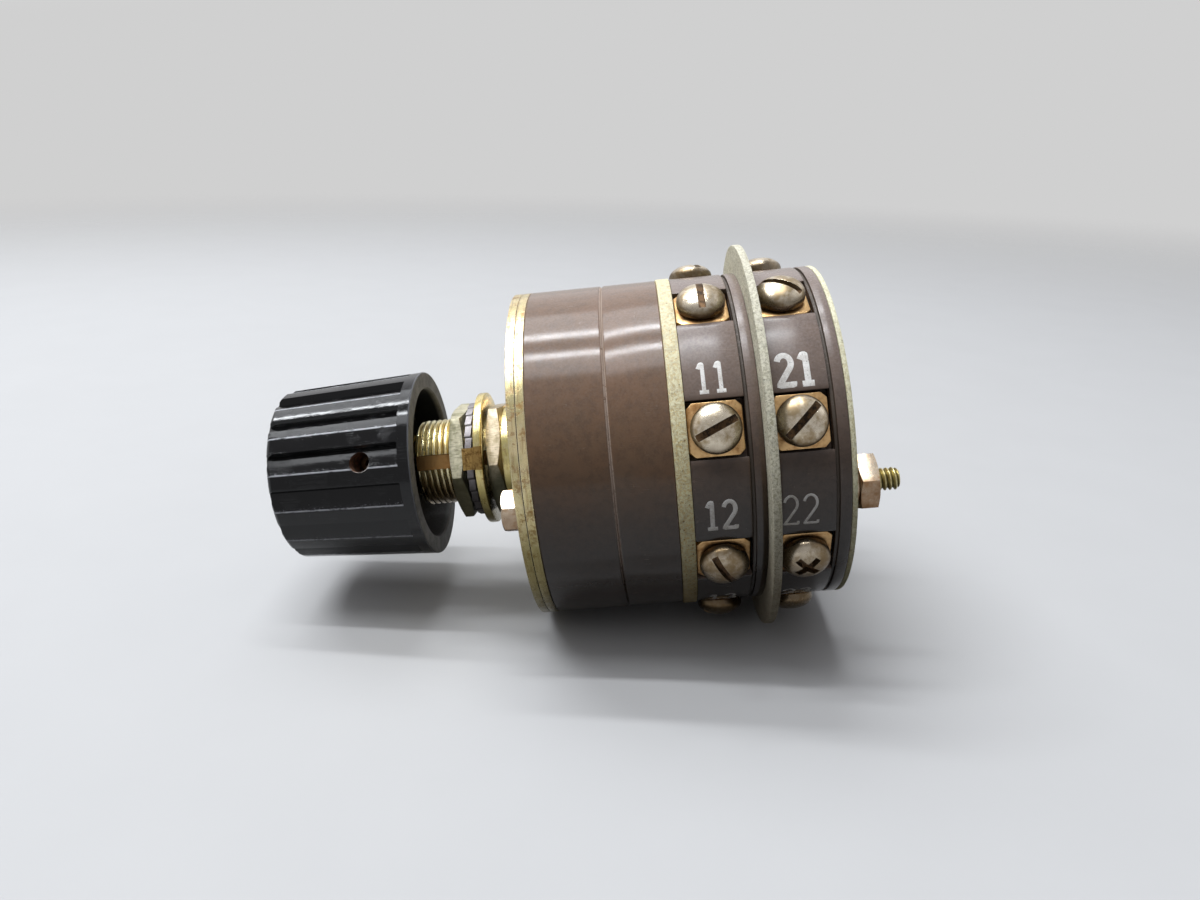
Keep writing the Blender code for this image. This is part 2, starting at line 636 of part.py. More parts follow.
def make_plates():
    for name, start in (("front_plate", FRONT_PLATE_START), ("stop_plate", STOP_PLATE_START)):
        end = start + PLATE_THICKNESS
        body = ring(name, PLATE_BORE_RADIUS, BODY_RADIUS, start, end)
        if name == "stop_plate":
            for angle in stop_tab_angles():
                tab = prism("stop_tab_%d" % angle, sector(STOP_INNER_RADIUS, STOP_OUTER_RADIUS, angle,
                                                          STOP_HALF_ANGLE), start, STOP_TAB_END)
                join(body, tab)
        cut(body, bolt_holes(name, start, end))
        finish(body, gold_plate, shaft_line)


def make_front_housing():
    start = FRONT_HOUSING_START
    end = start + FRONT_HOUSING_LENGTH
    floor = CHAMBER_FLOOR
    outline = [(SHAFT_BORE_RADIUS, end), (BODY_RADIUS - SEAM_CHAMFER, end),
               (BODY_RADIUS, end - SEAM_CHAMFER), (BODY_RADIUS, start), (CHAMBER_RADIUS, start),
               (CHAMBER_RADIUS, floor), (SHAFT_BORE_RADIUS, floor)]
    body = turned("front_housing", outline)
    pocket = shapes("spring_pocket", [lambda solid: add_box(
        solid, (CHAMBER_RADIUS / 2, -SPRING_POCKET_HALF_WIDTH, start - OVERSHOOT),
        (CHAMBER_RADIUS + SPRING_POCKET_DEPTH, SPRING_POCKET_HALF_WIDTH, floor), at_clock(90))])
    cut(body, pocket, bolt_holes("front_housing", start, end))
    return finish(body, brown_phenolic, shaft_line)


def make_detent_spring():
    """A bowed leaf spring: its ends bear on the pocket, and its nose sits in the star's notch."""
    back = CHAMBER_RADIUS + SPRING_POCKET_DEPTH - SEAT_GAP
    half = SPRING_POCKET_HALF_WIDTH - SIDE_GAP
    nose = STAR_RADIUS - NOTCH_DEPTH + 2 * RUN_GAP
    shoulder = STAR_RADIUS + 2 * RUN_GAP
    inner = [(nose, 0.0), (shoulder, NOTCH_HALF_WIDTH), (back - SPRING_THICKNESS, half)]
    outer = [(back, half), (shoulder + SPRING_THICKNESS, NOTCH_HALF_WIDTH - SPRING_THICKNESS / 4),
             (nose + SPRING_THICKNESS * sqrt(2), 0.0)]
    right = inner + outer
    outline = right + [(x, -y) for x, y in reversed(right[1:-1])]
    body = prism("detent_spring", outline, STAR_MIDDLE - SPRING_WIDTH / 2, STAR_MIDDLE + SPRING_WIDTH / 2)
    finish(body, steel, shaft_line)
    body.rotation_euler = (0.0, 0.0, clock(90))
    return body


def make_rear_housing():
    start = REAR_HOUSING_START
    end = start + REAR_HOUSING_LENGTH
    recess = end - REAR_RECESS_DEPTH
    outline = [(REAR_RECESS_RADIUS, end), (BODY_RADIUS, end), (BODY_RADIUS, start + SEAM_CHAMFER),
               (BODY_RADIUS - SEAM_CHAMFER, start), (SHAFT_BORE_RADIUS, start), (SHAFT_BORE_RADIUS, recess),
               (REAR_RECESS_RADIUS, recess)]
    body = turned("rear_housing", outline)
    cut(body, bolt_holes("rear_housing", start, end))
    return finish(body, brown_phenolic, shaft_line)


def make_insulators():
    discs = (("front_insulator", FRONT_INSULATOR_START, FRONT_INSULATOR_THICKNESS,
              FRONT_INSULATOR_RADIUS, tan_fibre),
             ("middle_insulator", MIDDLE_INSULATOR_START, MIDDLE_INSULATOR_THICKNESS,
              MIDDLE_INSULATOR_RADIUS, green_fibre),
             ("rear_insulator", REAR_INSULATOR_START, REAR_INSULATOR_THICKNESS,
              BODY_RADIUS, green_fibre))
    for name, start, thickness, radius, material in discs:
        body = ring(name, INSULATOR_BORE_RADIUS, radius, start, start + thickness)
        cut(body, bolt_holes(name, start, start + thickness))
        finish(body, material, shaft_line)


def pocket_angle(number):
    """The clock angle of a terminal, which are numbered downwards from the upper near one."""
    return POCKET_FIRST - 360 / POCKETS_PER_DECK * (number - 1)


def make_stator(deck, start):
    end = start + STATOR_LENGTH
    middle = (start + end) / 2
    floor = start + STATOR_FLOOR
    outline = [(ROTOR_CHAMBER_RADIUS, end), (BODY_RADIUS, end), (BODY_RADIUS, start),
               (SHAFT_BORE_RADIUS, start), (SHAFT_BORE_RADIUS, floor), (ROTOR_CHAMBER_RADIUS, floor)]
    body = turned("deck_%d_stator" % deck, outline)
    angles = [pocket_angle(number) for number in range(1, POCKETS_PER_DECK + 1)]
    half = POCKET_WIDTH / 2
    tail_half = CONTACT_TAIL_WIDTH / 2 + SIDE_GAP
    tail_rise = CONTACT_TAIL_HEIGHT / 2 + SIDE_GAP
    block_end = CONTACT_SEAT - CONTACT_BLOCK_DEPTH - SEAT_GAP
    block_half = CONTACT_BLOCK_WIDTH / 2 + SIDE_GAP

    def pocket(angle):
        return lambda solid: add_box(solid, (POCKET_FLOOR, -half, start - OVERSHOOT),
                                     (BODY_RADIUS + OVERSHOOT, half, end + OVERSHOOT), at_clock(angle))

    def block_hole(angle):
        return lambda solid: add_box(solid, (block_end, -block_half, middle - block_half),
                                     (POCKET_FLOOR + OVERSHOOT, block_half, middle + block_half),
                                     at_clock(angle))

    def tail_slot(angle):
        return lambda solid: add_box(solid, (ROTOR_CHAMBER_RADIUS - OVERSHOOT, -tail_half, middle - tail_rise),
                                     (block_end + OVERSHOOT, tail_half, middle + tail_rise),
                                     at_clock(angle))

    pockets = shapes("deck_%d_pockets" % deck, [pocket(angle) for angle in angles])
    blocks = shapes("deck_%d_block_holes" % deck, [block_hole(angle) for angle in angles])
    slots = shapes("deck_%d_tail_slots" % deck, [tail_slot(angle) for angle in angles])
    cut(body, pockets, blocks, slots, bolt_holes(body.name, start, end))
    return finish(body, purple_phenolic, shaft_line)


def make_cover(deck, start):
    end = start + COVER_THICKNESS
    body = ring("deck_%d_cover" % deck, SHAFT_BORE_RADIUS, BODY_RADIUS, start, end)
    cut(body, bolt_holes(body.name, start, end))
    return finish(body, purple_phenolic, shaft_line)


def drive_hole(name, start, end):
    """Cutter with the shaft's two flats."""
    half = SHAFT_DRIVE_FLAT + RUN_GAP
    body = disc(name, SHAFT_BORE_RADIUS, start, end, SMALL_STEPS)
    flats = shapes(name + "_flats", [lambda solid: add_box(
        solid, (-SHAFT_BORE_RADIUS, -half, start - OVERSHOOT), (SHAFT_BORE_RADIUS, half, end + OVERSHOOT))])
    return settle(keep_common(body, flats))


def make_rotor(deck, stator_start):
    """A moulded disc on the shaft's flats, with a thinner rim that carries the wiping contact."""
    start = stator_start + STATOR_FLOOR + RUN_GAP
    end = stator_start + STATOR_LENGTH
    middle = stator_start + STATOR_LENGTH / 2
    hub = ROTOR_RADIUS - ROTOR_RIM_WIDTH
    rim = CONTACT_TAIL_HEIGHT
    outline = [(0.0, end), (hub, end), (hub, middle + rim), (ROTOR_RADIUS, middle + rim),
               (ROTOR_RADIUS, start), (0.0, start)]
    body = turned("deck_%d_rotor" % deck, outline, closed=False)
    cut(body, drive_hole("deck_%d_drive_hole" % deck, start - OVERSHOOT, end + OVERSHOOT))
    return finish(body, black_phenolic, turning)


def contact_outline():
    """A square with its corners clipped: X along the shaft, Y across it."""
    half_x = CONTACT_LENGTH / 2
    half_y = POCKET_WIDTH / 2 - SIDE_GAP
    clip = CONTACT_CORNER
    corner = [(half_x, half_y - clip), (half_x - clip, half_y)]
    return (corner + [(-x, y) for x, y in reversed(corner)] + [(-x, -y) for x, y in corner]
            + [(x, -y) for x, y in reversed(corner)])


def contact_mesh():
    """The brass contact: a plate, a threaded block under it and a tail that reaches the rotor."""
    top = CONTACT_SEAT + CONTACT_THICKNESS
    block_end = CONTACT_SEAT - CONTACT_BLOCK_DEPTH
    half = CONTACT_BLOCK_WIDTH / 2
    tip = ROTOR_CHAMBER_RADIUS - CONTACT_TAIL_PROUD
    weld = CONTACT_THICKNESS / 2
    body = prism("contact_blank", contact_outline(), CONTACT_SEAT, top)
    block = shapes("contact_block", [lambda solid: add_box(
        solid, (-half, -half, block_end), (half, half, CONTACT_SEAT + weld))])
    tail = shapes("contact_tail", [lambda solid: add_box(
        solid, (-CONTACT_TAIL_HEIGHT / 2, -CONTACT_TAIL_WIDTH / 2, tip),
        (CONTACT_TAIL_HEIGHT / 2, CONTACT_TAIL_WIDTH / 2, block_end + weld))])
    hole = shapes("contact_hole", [lambda solid: add_rod(
        solid, TERMINAL_THREAD_RADIUS + SIDE_GAP, HEAD_SEAT - TERMINAL_THREAD_LENGTH - SEAT_GAP,
        top + OVERSHOOT)])
    cut(join(body, block, tail), hole)
    settle(body)
    mesh = body.data
    bpy.data.objects.remove(body)
    return mesh


def terminal_head_outline():
    """The domed head's outer points, from its top centre to its rim."""
    top = HEAD_SEAT + TERMINAL_HEAD_HEIGHT
    rise = TERMINAL_HEAD_HEIGHT - TERMINAL_HEAD_EDGE
    rim = HEAD_SEAT + TERMINAL_HEAD_EDGE
    angles = [radians(a) for a in (58, 28, 0)]
    return [(0.0, top)] + [(TERMINAL_HEAD_RADIUS * cos(a), rim + rise * sin(a)) for a in angles]


def make_terminal_screw(label, angle, station, slot_angle):
    tip = HEAD_SEAT - TERMINAL_THREAD_LENGTH
    shank = [(TERMINAL_HEAD_RADIUS, HEAD_SEAT), (TERMINAL_THREAD_RADIUS, HEAD_SEAT),
             (TERMINAL_THREAD_RADIUS, tip), (0.0, tip)]
    body = turned("terminal_screw_" + label, terminal_head_outline() + shank, closed=False, steps=SCREW_STEPS)
    top = HEAD_SEAT + TERMINAL_HEAD_HEIGHT
    crossed = label in CROSS_HEADS
    reach = CROSS_LENGTH / 2 if crossed else TERMINAL_HEAD_RADIUS + OVERSHOOT

    def slot(turn):
        spin = Matrix.Rotation(radians(turn), 4, "Z")
        return shapes("slot_%s_%d" % (label, turn), [lambda solid: add_box(
            solid, (-reach, -SLOT_WIDTH / 2, top - SLOT_DEPTH), (reach, SLOT_WIDTH / 2, top + OVERSHOOT), spin)])

    cut(body, slot(slot_angle))
    if crossed:
        cut(body, slot(slot_angle + 90))
    finish(body, nickel, shaft_line)
    return place_radially(body, angle, station)


def make_terminals(deck, stator_start, plate_mesh):
    station = stator_start + STATOR_LENGTH / 2
    for number in range(1, POCKETS_PER_DECK + 1):
        label = "%d%d" % (deck, number)
        angle = pocket_angle(number)
        contact = new_object("contact_" + label, plate_mesh.copy(), parts)
        finish(contact, brass, shaft_line)
        place_radially(contact, angle, station)
        slot_angle = SLOT_ANGLES.get(label, SLOT_ANGLE_STEP * (number + deck) % 180)
        if label in CROSS_HEADS:
            slot_angle = 0.0
        make_terminal_screw(label, angle, station, slot_angle)


def make_through_bolt(name, angle):
    """Hexagon head, washer and shank in one, in the bolt's own frame."""
    washer_end = FRONT_PLATE_START - SEAT_GAP
    washer_start = washer_end - BOLT_WASHER_THICKNESS
    head_start = washer_start - BOLT_HEAD_HEIGHT
    tip = STACK_END + SEAT_GAP + BOLT_NUT_WASHERS + BOLT_NUT_THICKNESS + BOLT_TIP_LENGTH
    outline = [(0.0, tip), (BOLT_RADIUS, tip), (BOLT_RADIUS, washer_end), (BOLT_WASHER_RADIUS, washer_end),
               (BOLT_WASHER_RADIUS, washer_start), (0.0, washer_start)]
    body = turned(name, outline, closed=False, steps=SCREW_STEPS)
    head = hexagon(name + "_head", BOLT_HEAD_ACROSS_FLATS, head_start,
                   washer_start + BOLT_WASHER_THICKNESS / 2, -BOLT_HEAD_CORNER)
    join(body, settle(head))
    finish(body, bronze, shaft_line)
    body.location = (*polar(BOLT_CIRCLE_RADIUS, degrees(clock(angle))), 0.0)
    body.rotation_euler = (0.0, 0.0, clock(0))
    return body


def make_bolt_nut(name, angle):
    """Nut and its washers, clamped on the rear insulator."""
    start = STACK_END + SEAT_GAP
    washer_end = start + BOLT_NUT_WASHERS
    end = washer_end + BOLT_NUT_THICKNESS
    body = hexagon(name, BOLT_NUT_ACROSS_FLATS, washer_end - BOLT_NUT_WASHERS / 2, end, -BOLT_NUT_CORNER)
    settle(body)
    washer = disc(name + "_washer", BOLT_NUT_WASHER_RADIUS, start, washer_end, SCREW_STEPS)
    bore = disc(name + "_bore", BOLT_HOLE_RADIUS, start - OVERSHOOT, end + OVERSHOOT, HOLE_STEPS)
    cut(join(body, washer), bore)
    finish(body, bronze, shaft_line)
    body.location = (*polar(BOLT_CIRCLE_RADIUS, degrees(clock(angle))), 0.0)
    body.rotation_euler = (0.0, 0.0, clock(0))
    return body


clear_scene()
parts = new_collection(PARTS_NAME)
cutters = new_collection("cutters")

black_phenolic = make_material("black_phenolic", (0.012, 0.012, 0.013), 0.35, 0.0)
brown_phenolic = make_material("brown_phenolic", (0.080, 0.048, 0.030), 0.30, 0.0)
purple_phenolic = make_material("purple_phenolic", (0.075, 0.052, 0.046), 0.38, 0.0)
tan_fibre = make_material("tan_fibre", (0.36, 0.29, 0.16), 0.85, 0.0)
green_fibre = make_material("green_fibre", (0.21, 0.22, 0.16), 0.80, 0.0)
brass = make_material("brass", (0.62, 0.42, 0.15), 0.35, 1.0)
gold_plate = make_material("gold_plate", (0.66, 0.52, 0.24), 0.40, 1.0)
zinc = make_material("zinc", (0.42, 0.43, 0.36), 0.55, 1.0)
nickel = make_material("nickel", (0.55, 0.48, 0.38), 0.38, 1.0)
bronze = make_material("bronze", (0.45, 0.30, 0.16), 0.42, 1.0)
steel = make_material("steel", (0.50, 0.50, 0.49), 0.35, 1.0)

shaft_line = new_empty("shaft_line")
shaft_line.rotation_euler = (0.0, pi / 2, 0.0)
turning = new_empty("turning_parts", shaft_line)

make_knob()
make_knob_insert()
make_set_screw()
make_shaft()
make_retaining_ring()
make_bushing()
make_bushing_nut("panel_nut", PANEL_NUT_START, PANEL_NUT_THICKNESS, PANEL_NUT_ANGLE)
make_bushing_nut("backing_nut", BACKING_NUT_START, BACKING_NUT_THICKNESS, BACKING_NUT_ANGLE)
make_lock_washer()
make_locating_washer()
make_plates()
make_front_housing()
make_detent_spring()
make_rear_housing()
make_insulators()
contact_blank = contact_mesh()
for deck_number, deck_start in ((1, DECK_1_START), (2, DECK_2_START)):
    make_stator(deck_number, deck_start)
    make_cover(deck_number, deck_start + STATOR_LENGTH + SEAT_GAP)
    make_rotor(deck_number, deck_start)
    make_terminals(deck_number, deck_start, contact_blank)
for side, bolt_angle in zip(("near", "far"), bolt_angles()):
    make_through_bolt("through_bolt_" + side, bolt_angle)
    make_bolt_nut("bolt_nut_" + side, bolt_angle)
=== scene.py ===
"""Rotary wiper switch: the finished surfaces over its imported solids, with floor, lamps and camera.

The shaft lies along X, with the knob at -X. A station is a place along it. Clock angles run round it as
seen from the knob's side: 0 points to -Y, and 90 straight up. Sizes are in metres and angles in degrees.
"""

from math import atan2, cos, degrees, hypot, pi, radians, sin, sqrt
from types import SimpleNamespace

import bmesh
import bpy
from mathutils import Matrix, Vector


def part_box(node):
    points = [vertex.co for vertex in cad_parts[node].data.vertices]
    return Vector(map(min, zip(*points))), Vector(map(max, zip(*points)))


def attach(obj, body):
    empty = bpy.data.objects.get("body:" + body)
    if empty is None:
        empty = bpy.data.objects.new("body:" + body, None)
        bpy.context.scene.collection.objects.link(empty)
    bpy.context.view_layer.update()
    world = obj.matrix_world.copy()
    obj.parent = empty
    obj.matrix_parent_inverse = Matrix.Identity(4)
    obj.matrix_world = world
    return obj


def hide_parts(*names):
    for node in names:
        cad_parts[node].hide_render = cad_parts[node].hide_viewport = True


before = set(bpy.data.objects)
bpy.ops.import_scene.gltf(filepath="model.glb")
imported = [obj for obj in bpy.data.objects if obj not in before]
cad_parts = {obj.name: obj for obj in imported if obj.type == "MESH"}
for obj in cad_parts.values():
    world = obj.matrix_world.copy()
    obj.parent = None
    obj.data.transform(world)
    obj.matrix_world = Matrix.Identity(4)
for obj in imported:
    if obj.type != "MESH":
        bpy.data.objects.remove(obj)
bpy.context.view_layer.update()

# Fineness, and sizes that many pieces share
HAIRLINE = 0.00003             # what is left of the gap between two pieces that are drawn together
EDGE_ROUND = 0.00012
ROUND_STEPS = 240
FINE_STEPS = 96
HEAD_STEPS = 72
SHARP_ANGLE = 34.0
BEYOND = 0.001                 # how far a cutter reaches past what it cuts
WELD = 0.0000005

# Knob
FLUTE_COUNT = 15
FLUTE_DEPTH = 0.00085
FLUTE_RAMP = 12.0              # of slope, from a land's edge down to the floor
FLUTE_WALL = 2.0
FLUTE_FIRST = 20.0
FLUTE_COLUMNS = 48             # round the knob, for each flute
KNOB_BAND = 0.00162
KNOB_FACE_RADIUS = 0.01105
KNOB_NOSE_RADIUS = 0.01190
KNOB_NOSE_LENGTH = 0.0007
KNOB_REAR_RADIUS = 0.01290
KNOB_RECESS_RADIUS = 0.01053
KNOB_RECESS_DEPTH = 0.0045
SLEEVE_RADIUS = 0.005
SCREW_HOLE_RADIUS = 0.00134
SCREW_HOLE_RIM = 0.00160
SCREW_HOLE_CLOCK = 24.0
CLIP_RADIUS = 0.0045
CLIP_BORE = 0.0029
CLIP_MOUTH = 0.0030

# Bushing and what is threaded on it
THREAD_RADIUS = 0.00595
THREAD_PITCH = 0.000794
THREAD_DEPTH = 0.00040
THREAD_CREST = 0.34            # flat top of the thread, as a share of its pitch
SHAFT_BORE = 0.003475
SHOULDER_RADIUS = 0.0069
SPIGOT_RADIUS = 0.0050
KEYWAY_WIDTH = 0.0020
KEYWAY_RADIUS = 0.0051
KEYWAY_CLOCK = 20.0
NUT_ACROSS_FLATS = 0.01429
NUT_CHAMFER = 0.36
NUT_BORE = THREAD_RADIUS + 0.0002
PANEL_NUT_CLOCK = 3.0
BACKING_NUT_CLOCK = 12.5
TOOTH_COUNT = 26
TOOTH_SHARE = 0.95
TOOTH_TWIST = 0.00020
TOOTH_HALF_THICKNESS = 0.00042
WASHER_ROOT = 0.00782
LUG_WIDTH = 0.0029
LUG_THICKNESS = 0.00095
TONGUE_WIDTH = 0.0014

# Clamp bolts
BOLT_CIRCLE = 0.0145
BOLT_CLOCKS = {"near": -9.0, "far": 171.0}
BOLT_RADIUS = 0.00142
BOLT_PITCH = 0.000635
BOLT_THREAD_DEPTH = 0.00034
BOLT_HEAD_ACROSS_FLATS = 0.0050
BOLT_HEAD_CHAMFER = 0.8
BOLT_HEAD_CORNER = 29.0
BOLT_WASHER_RADIUS = 0.0029
BOLT_WASHER = 0.0006
BOLT_NUT_ACROSS_FLATS = 0.00665
BOLT_NUT_CORNER = 22.0
BOLT_NUT_WASHER_RADIUS = 0.0033
BOLT_NUT_WASHERS = 0.0012
SEAT_GAP = 0.0003              # between two solids that bear on each other

# Housings and decks
SEAM_WIDTH = 0.00030
SEAM_DEPTH = 0.00026
CASE_CHAMBER_RADIUS = 0.0158
CASE_FLOOR = 0.0023
FIBRE_BORE = 0.0039
POCKETS = 8
POCKET_FIRST = 22.5
POCKET_WIDTH = 0.00695
POCKET_FLOOR = 0.0203
CHAMBER_RADIUS = 0.0118
CHAMBER_FLOOR = 0.0015
COVER_GROOVE_WIDTH = 0.00038
COVER_GROOVE_DEPTH = 0.00042
HEAD_SEAT = 0.0221
HEAD_RADIUS = 0.0030
HEAD_HEIGHT = 0.0024
HEAD_EDGE = 0.0007
SHANK_RADIUS = 0.00155
SHANK_LENGTH = 0.0040
SLOT_WIDTH = 0.00085
SLOT_DEPTH = 0.00090
CROSS_LENGTH = 0.0034
SLOT_ANGLES = {"11": 24.0, "21": 44.0, "18": 90.0, "28": -32.0, "12": -62.0, "22": 45.0}
SLOT_STEP = 37.0
CROSS_HEADS = ("22",)

# Painted terminal numbers: height, width of a figure, stroke, rise from the pocket's middle in degrees,
# and shift along the shaft
NUMBER_STYLES = {"11": (0.0041, 0.00150, 0.00047, 16.0, 0.0),
                 "21": (0.0045, 0.00190, 0.00072, 16.0, 0.0),
                 "12": (0.0041, 0.00165, 0.00052, 18.2, -0.0002),
                 "22": (0.0041, 0.00180, 0.00032, 17.8, -0.0006)}
PLAIN_NUMBER = (0.0041, 0.00160, 0.00045, 15.9, 0.0)
NUMBER_GAP = 0.00050
WORN_OFF = ("18", "28")
PAINT_THICKNESS = 0.00002

# Floor, lamps and camera
FLOOR_RADIUS = 0.90
FRONT_REST = (0.00684, -0.02225)
REAR_REST = (0.0368, -0.02595)
LAMP_DISTANCE = 0.8
LAMPS = (("rear_tube", 14.3, 0.040, 3.1), ("front_tube", -2.8, 0.036, 3.1),
         ("front_panel", -12.5, 0.17, 1.3), ("rear_panel", 27.0, 0.28, 1.7))   # lean, width and power
TUBE_MIDDLE = -0.135
TUBE_LENGTH = 0.66
CAMERA_PLACE = (0.023328, -0.116255, 0.042313)
CAMERA_TURN = (69.7627, 5.8831, 1.3362)
CAMERA_LENS = 26.333


def colour(red, green, blue):
    """A colour as it looks on screen, 0 to 255, turned into the linear values that shaders take."""
    def linear(value):
        share = value / 255
        return share / 12.92 if share <= 0.04045 else ((share + 0.055) / 1.055) ** 2.4
    return (linear(red), linear(green), linear(blue), 1.0)


# Node trees, written as formulas

class Field:
    """A node's output that takes part in formulas, each step of which adds a math node."""

    def __init__(self, tree, socket):
        self.tree = tree
        self.socket = socket

    def __add__(self, other):
        return calc("ADD", self, other)

    def __sub__(self, other):
        return calc("SUBTRACT", self, other)

    def __rsub__(self, other):
        return calc("SUBTRACT", other, self)

    def __mul__(self, other):
        return calc("MULTIPLY", self, other)

    def __truediv__(self, other):
        return calc("DIVIDE", self, other)

    def __rtruediv__(self, other):
        return calc("DIVIDE", other, self)

    def __lt__(self, other):
        return calc("LESS_THAN", self, other)

    def __gt__(self, other):
        return calc("GREATER_THAN", self, other)

    def __abs__(self):
        return calc("ABSOLUTE", self)

    __radd__ = __add__
    __rmul__ = __mul__


def connect(value, socket):
    if isinstance(value, Field):
        value.tree.links.new(value.socket, socket)
    else:
        socket.default_value = value


def add(tree, kind, inputs=None, **settings):
    """A new node's outputs as fields, by number and by name."""
    made = tree.nodes.new(kind)
    for name, value in settings.items():
        setattr(made, name, value)
    for name, value in (inputs or {}).items():
        connect(value, made.inputs[name])
    fields = {}
    for number, socket in enumerate(made.outputs):
        fields[number] = Field(tree, socket)
        fields.setdefault(socket.name, fields[number])
    return fields


def calc(operation, *values, clamp=False):
    tree = next(value.tree for value in values if isinstance(value, Field))
    return add(tree, "ShaderNodeMath", dict(enumerate(values)), operation=operation, use_clamp=clamp)[0]


def fade(value, low, high, to_low=0.0, to_high=1.0):
    """A soft step of a value between two limits."""
    inputs = {"Value": value, "From Min": low, "From Max": high, "To Min": to_low, "To Max": to_high}
    return add(value.tree, "ShaderNodeMapRange", inputs, interpolation_type="SMOOTHSTEP")[0]


def layered(tone, *coats):
    """A base colour under coats of (colour, mask), the last one on top."""
    for over, mask in coats:
        tone = add(mask.tree, "ShaderNodeMix", {0: mask, 6: tone, 7: over}, data_type="RGBA")[2]
    return tone


def vector(x, y, z=0.0):
    return add(x.tree, "ShaderNodeCombineXYZ", {0: x, 1: y, 2: z})[0]


def vector_calc(operation, *values):
    return add(values[0].tree, "ShaderNodeVectorMath", dict(enumerate(values)), operation=operation)


def axes(place):
    split = add(place.tree, "ShaderNodeSeparateXYZ", {0: place})
    return split[0], split[1], split[2]


def noise(place, scale, detail=4.0, roughness=0.55):
    inputs = {"Vector": place, "Scale": scale, "Detail": detail, "Roughness": roughness}
    return add(place.tree, "ShaderNodeTexNoise", inputs)["Fac"]


def object_place(tree):
    return add(tree, "ShaderNodeTexCoord")["Object"]


def facing(tree):
    return add(tree, "ShaderNodeTexCoord")["Normal"]


def stored(tree, name):
    return add(tree, "ShaderNodeAttribute", attribute_name=name)["Fac"]


def sine(angle):
    return calc("SINE", angle * (pi / 180))


def on_shaft(place):
    """The station, radius and clock angle of a point."""
    x, y, z = axes(place)
    radius = calc("SQRT", y * y + z * z)
    angle = calc("ARCTAN2", z, y * -1.0) * (180 / pi)
    return SimpleNamespace(station=x, radius=radius, angle=angle)


def on_drum(station, radius, angle):
    """The point at a station, a radius and a clock angle."""
    return vector(station, radius * -1.0 * calc("COSINE", angle * (pi / 180)), radius * sine(angle))


def titled(name):
    return name.replace("_", " ").title()


def new_tree(name, kind, output, **inputs):
    """A node group with one output and named inputs, each with its usual value or its kind of socket."""
    tree = bpy.data.node_groups.new(name, kind + "NodeTree")
    for word, value in inputs.items():
        socket = {int: "Int", float: "Float"}.get(type(value), value)
        made = tree.interface.new_socket(titled(word), in_out="INPUT", socket_type="NodeSocket" + socket)
        if socket != value:
            made.default_value = value
    tree.interface.new_socket("Result", in_out="OUTPUT", socket_type="NodeSocket" + output)
    given = add(tree, "NodeGroupInput")
    return tree, SimpleNamespace(**{word: given[titled(word)] for word in inputs})


def close_tree(tree, result):
    connect(result, tree.nodes.new("NodeGroupOutput").inputs[0])
    return tree


# Surface effects that several finishes share

def make_mottling():
    """Cloudy patches of two sizes."""
    tree, given = new_tree("mottling", "Shader", "Float", patch_size=0.004, low=0.45, high=0.62)
    place, scale = object_place(tree), 1.0 / given.patch_size
    both = noise(place, scale, 3.0) * 0.65 + noise(place, scale * 5.3) * 0.35
    return close_tree(tree, fade(both, given.low, given.high))


def make_specks():
    """Scattered small grains of dust or filler."""
    tree, given = new_tree("specks", "Shader", "Float", spacing=0.0012, grain=0.12, share=0.4)
    cells = add(tree, "ShaderNodeTexVoronoi", {"Vector": object_place(tree), "Scale": 1.0 / given.spacing})
    pick = add(tree, "ShaderNodeSeparateColor", {0: cells["Color"]})[0]
    reach = given.grain * fade(pick, 0.0, 1.0, 0.4, 1.3)
    spot = calc("SUBTRACT", 1.0, cells["Distance"] / reach, clamp=True)
    return close_tree(tree, fade(spot, 0.0, 0.45) * (pick < given.share))


def make_scratches():
    """Short straight hairlines along the shaft, more in some places than in others."""
    tree, given = new_tree("scratches", "Shader", "Float", length=0.004, spread=1.1, width=0.02, share=0.58)
    place = object_place(tree)
    spot = on_shaft(place)
    wave = noise(vector(spot.station / given.length, spot.angle / given.spread), 1.0, 0.0)
    thin = calc("SUBTRACT", 1.0, abs(wave - 0.5) / given.width, clamp=True)
    here = fade(noise(place, 430.0, 3.0), given.share, given.share + 0.06)
    return close_tree(tree, thin * here)


def make_edge_wear():
    """Bare or rubbed edges, from how sharply the faces meet at each point."""
    tree, given = new_tree("edge_wear", "Shader", "Float", low=0.35, high=0.8, patch_size=0.0008)
    edge = stored(tree, "edge")
    patchy = noise(object_place(tree), 1.0 / given.patch_size, 4.0, 0.65)
    broken = edge + (patchy - 0.5) * 1.1
    return close_tree(tree, fade(broken, given.low, given.high) * (edge > 0.12))


def make_settled_dust_and_sheen():
    """A thin pale film on what faces up: settled dust, and in part a painted sheen where light falls from
    above.
    """
    tree, given = new_tree("settled_dust", "Shader", "Float", amount=0.3)
    up = axes(facing(tree))[2]
    patchy = noise(object_place(tree), 3200.0, 5.0, 0.7)
    film = fade(up, 0.1, 1.0) * fade(patchy, 0.15, 0.85, 0.4, 1.0)
    return close_tree(tree, film * given.amount)


def make_painted_lower_shade():
    """Painted shade: darker on what faces down and on the lower half round the shaft, broken up by noise."""
    tree, given = new_tree("underside", "Shader", "Float", amount=0.6)
    place = object_place(tree)
    up = axes(facing(tree))[2]
    down = up * 0.65 + sine(on_shaft(place).angle) * 0.45 + noise(place, 700.0, 5.0, 0.7) * 0.3
    return close_tree(tree, fade(down, 0.58, -0.20) * given.amount)


def make_painted_flank_shade():
    """Painted shade in a tarnish colour on what turns away from straight outwards, such as the sloping sides
    of a domed head.
    """
    tree, given = new_tree("flank_stain", "Shader", "Float", amount=0.5)
    place = object_place(tree)
    across = vector_calc("MULTIPLY", place, (0.0, 1.0, 1.0))[0]
    outward = vector_calc("NORMALIZE", across)[0]
    straight = vector_calc("DOT_PRODUCT", outward, facing(tree))["Value"]
    away = fade(straight - noise(place, 900.0, 4.0, 0.7) * 0.3, 0.78, 0.25)
    return close_tree(tree, away * given.amount)


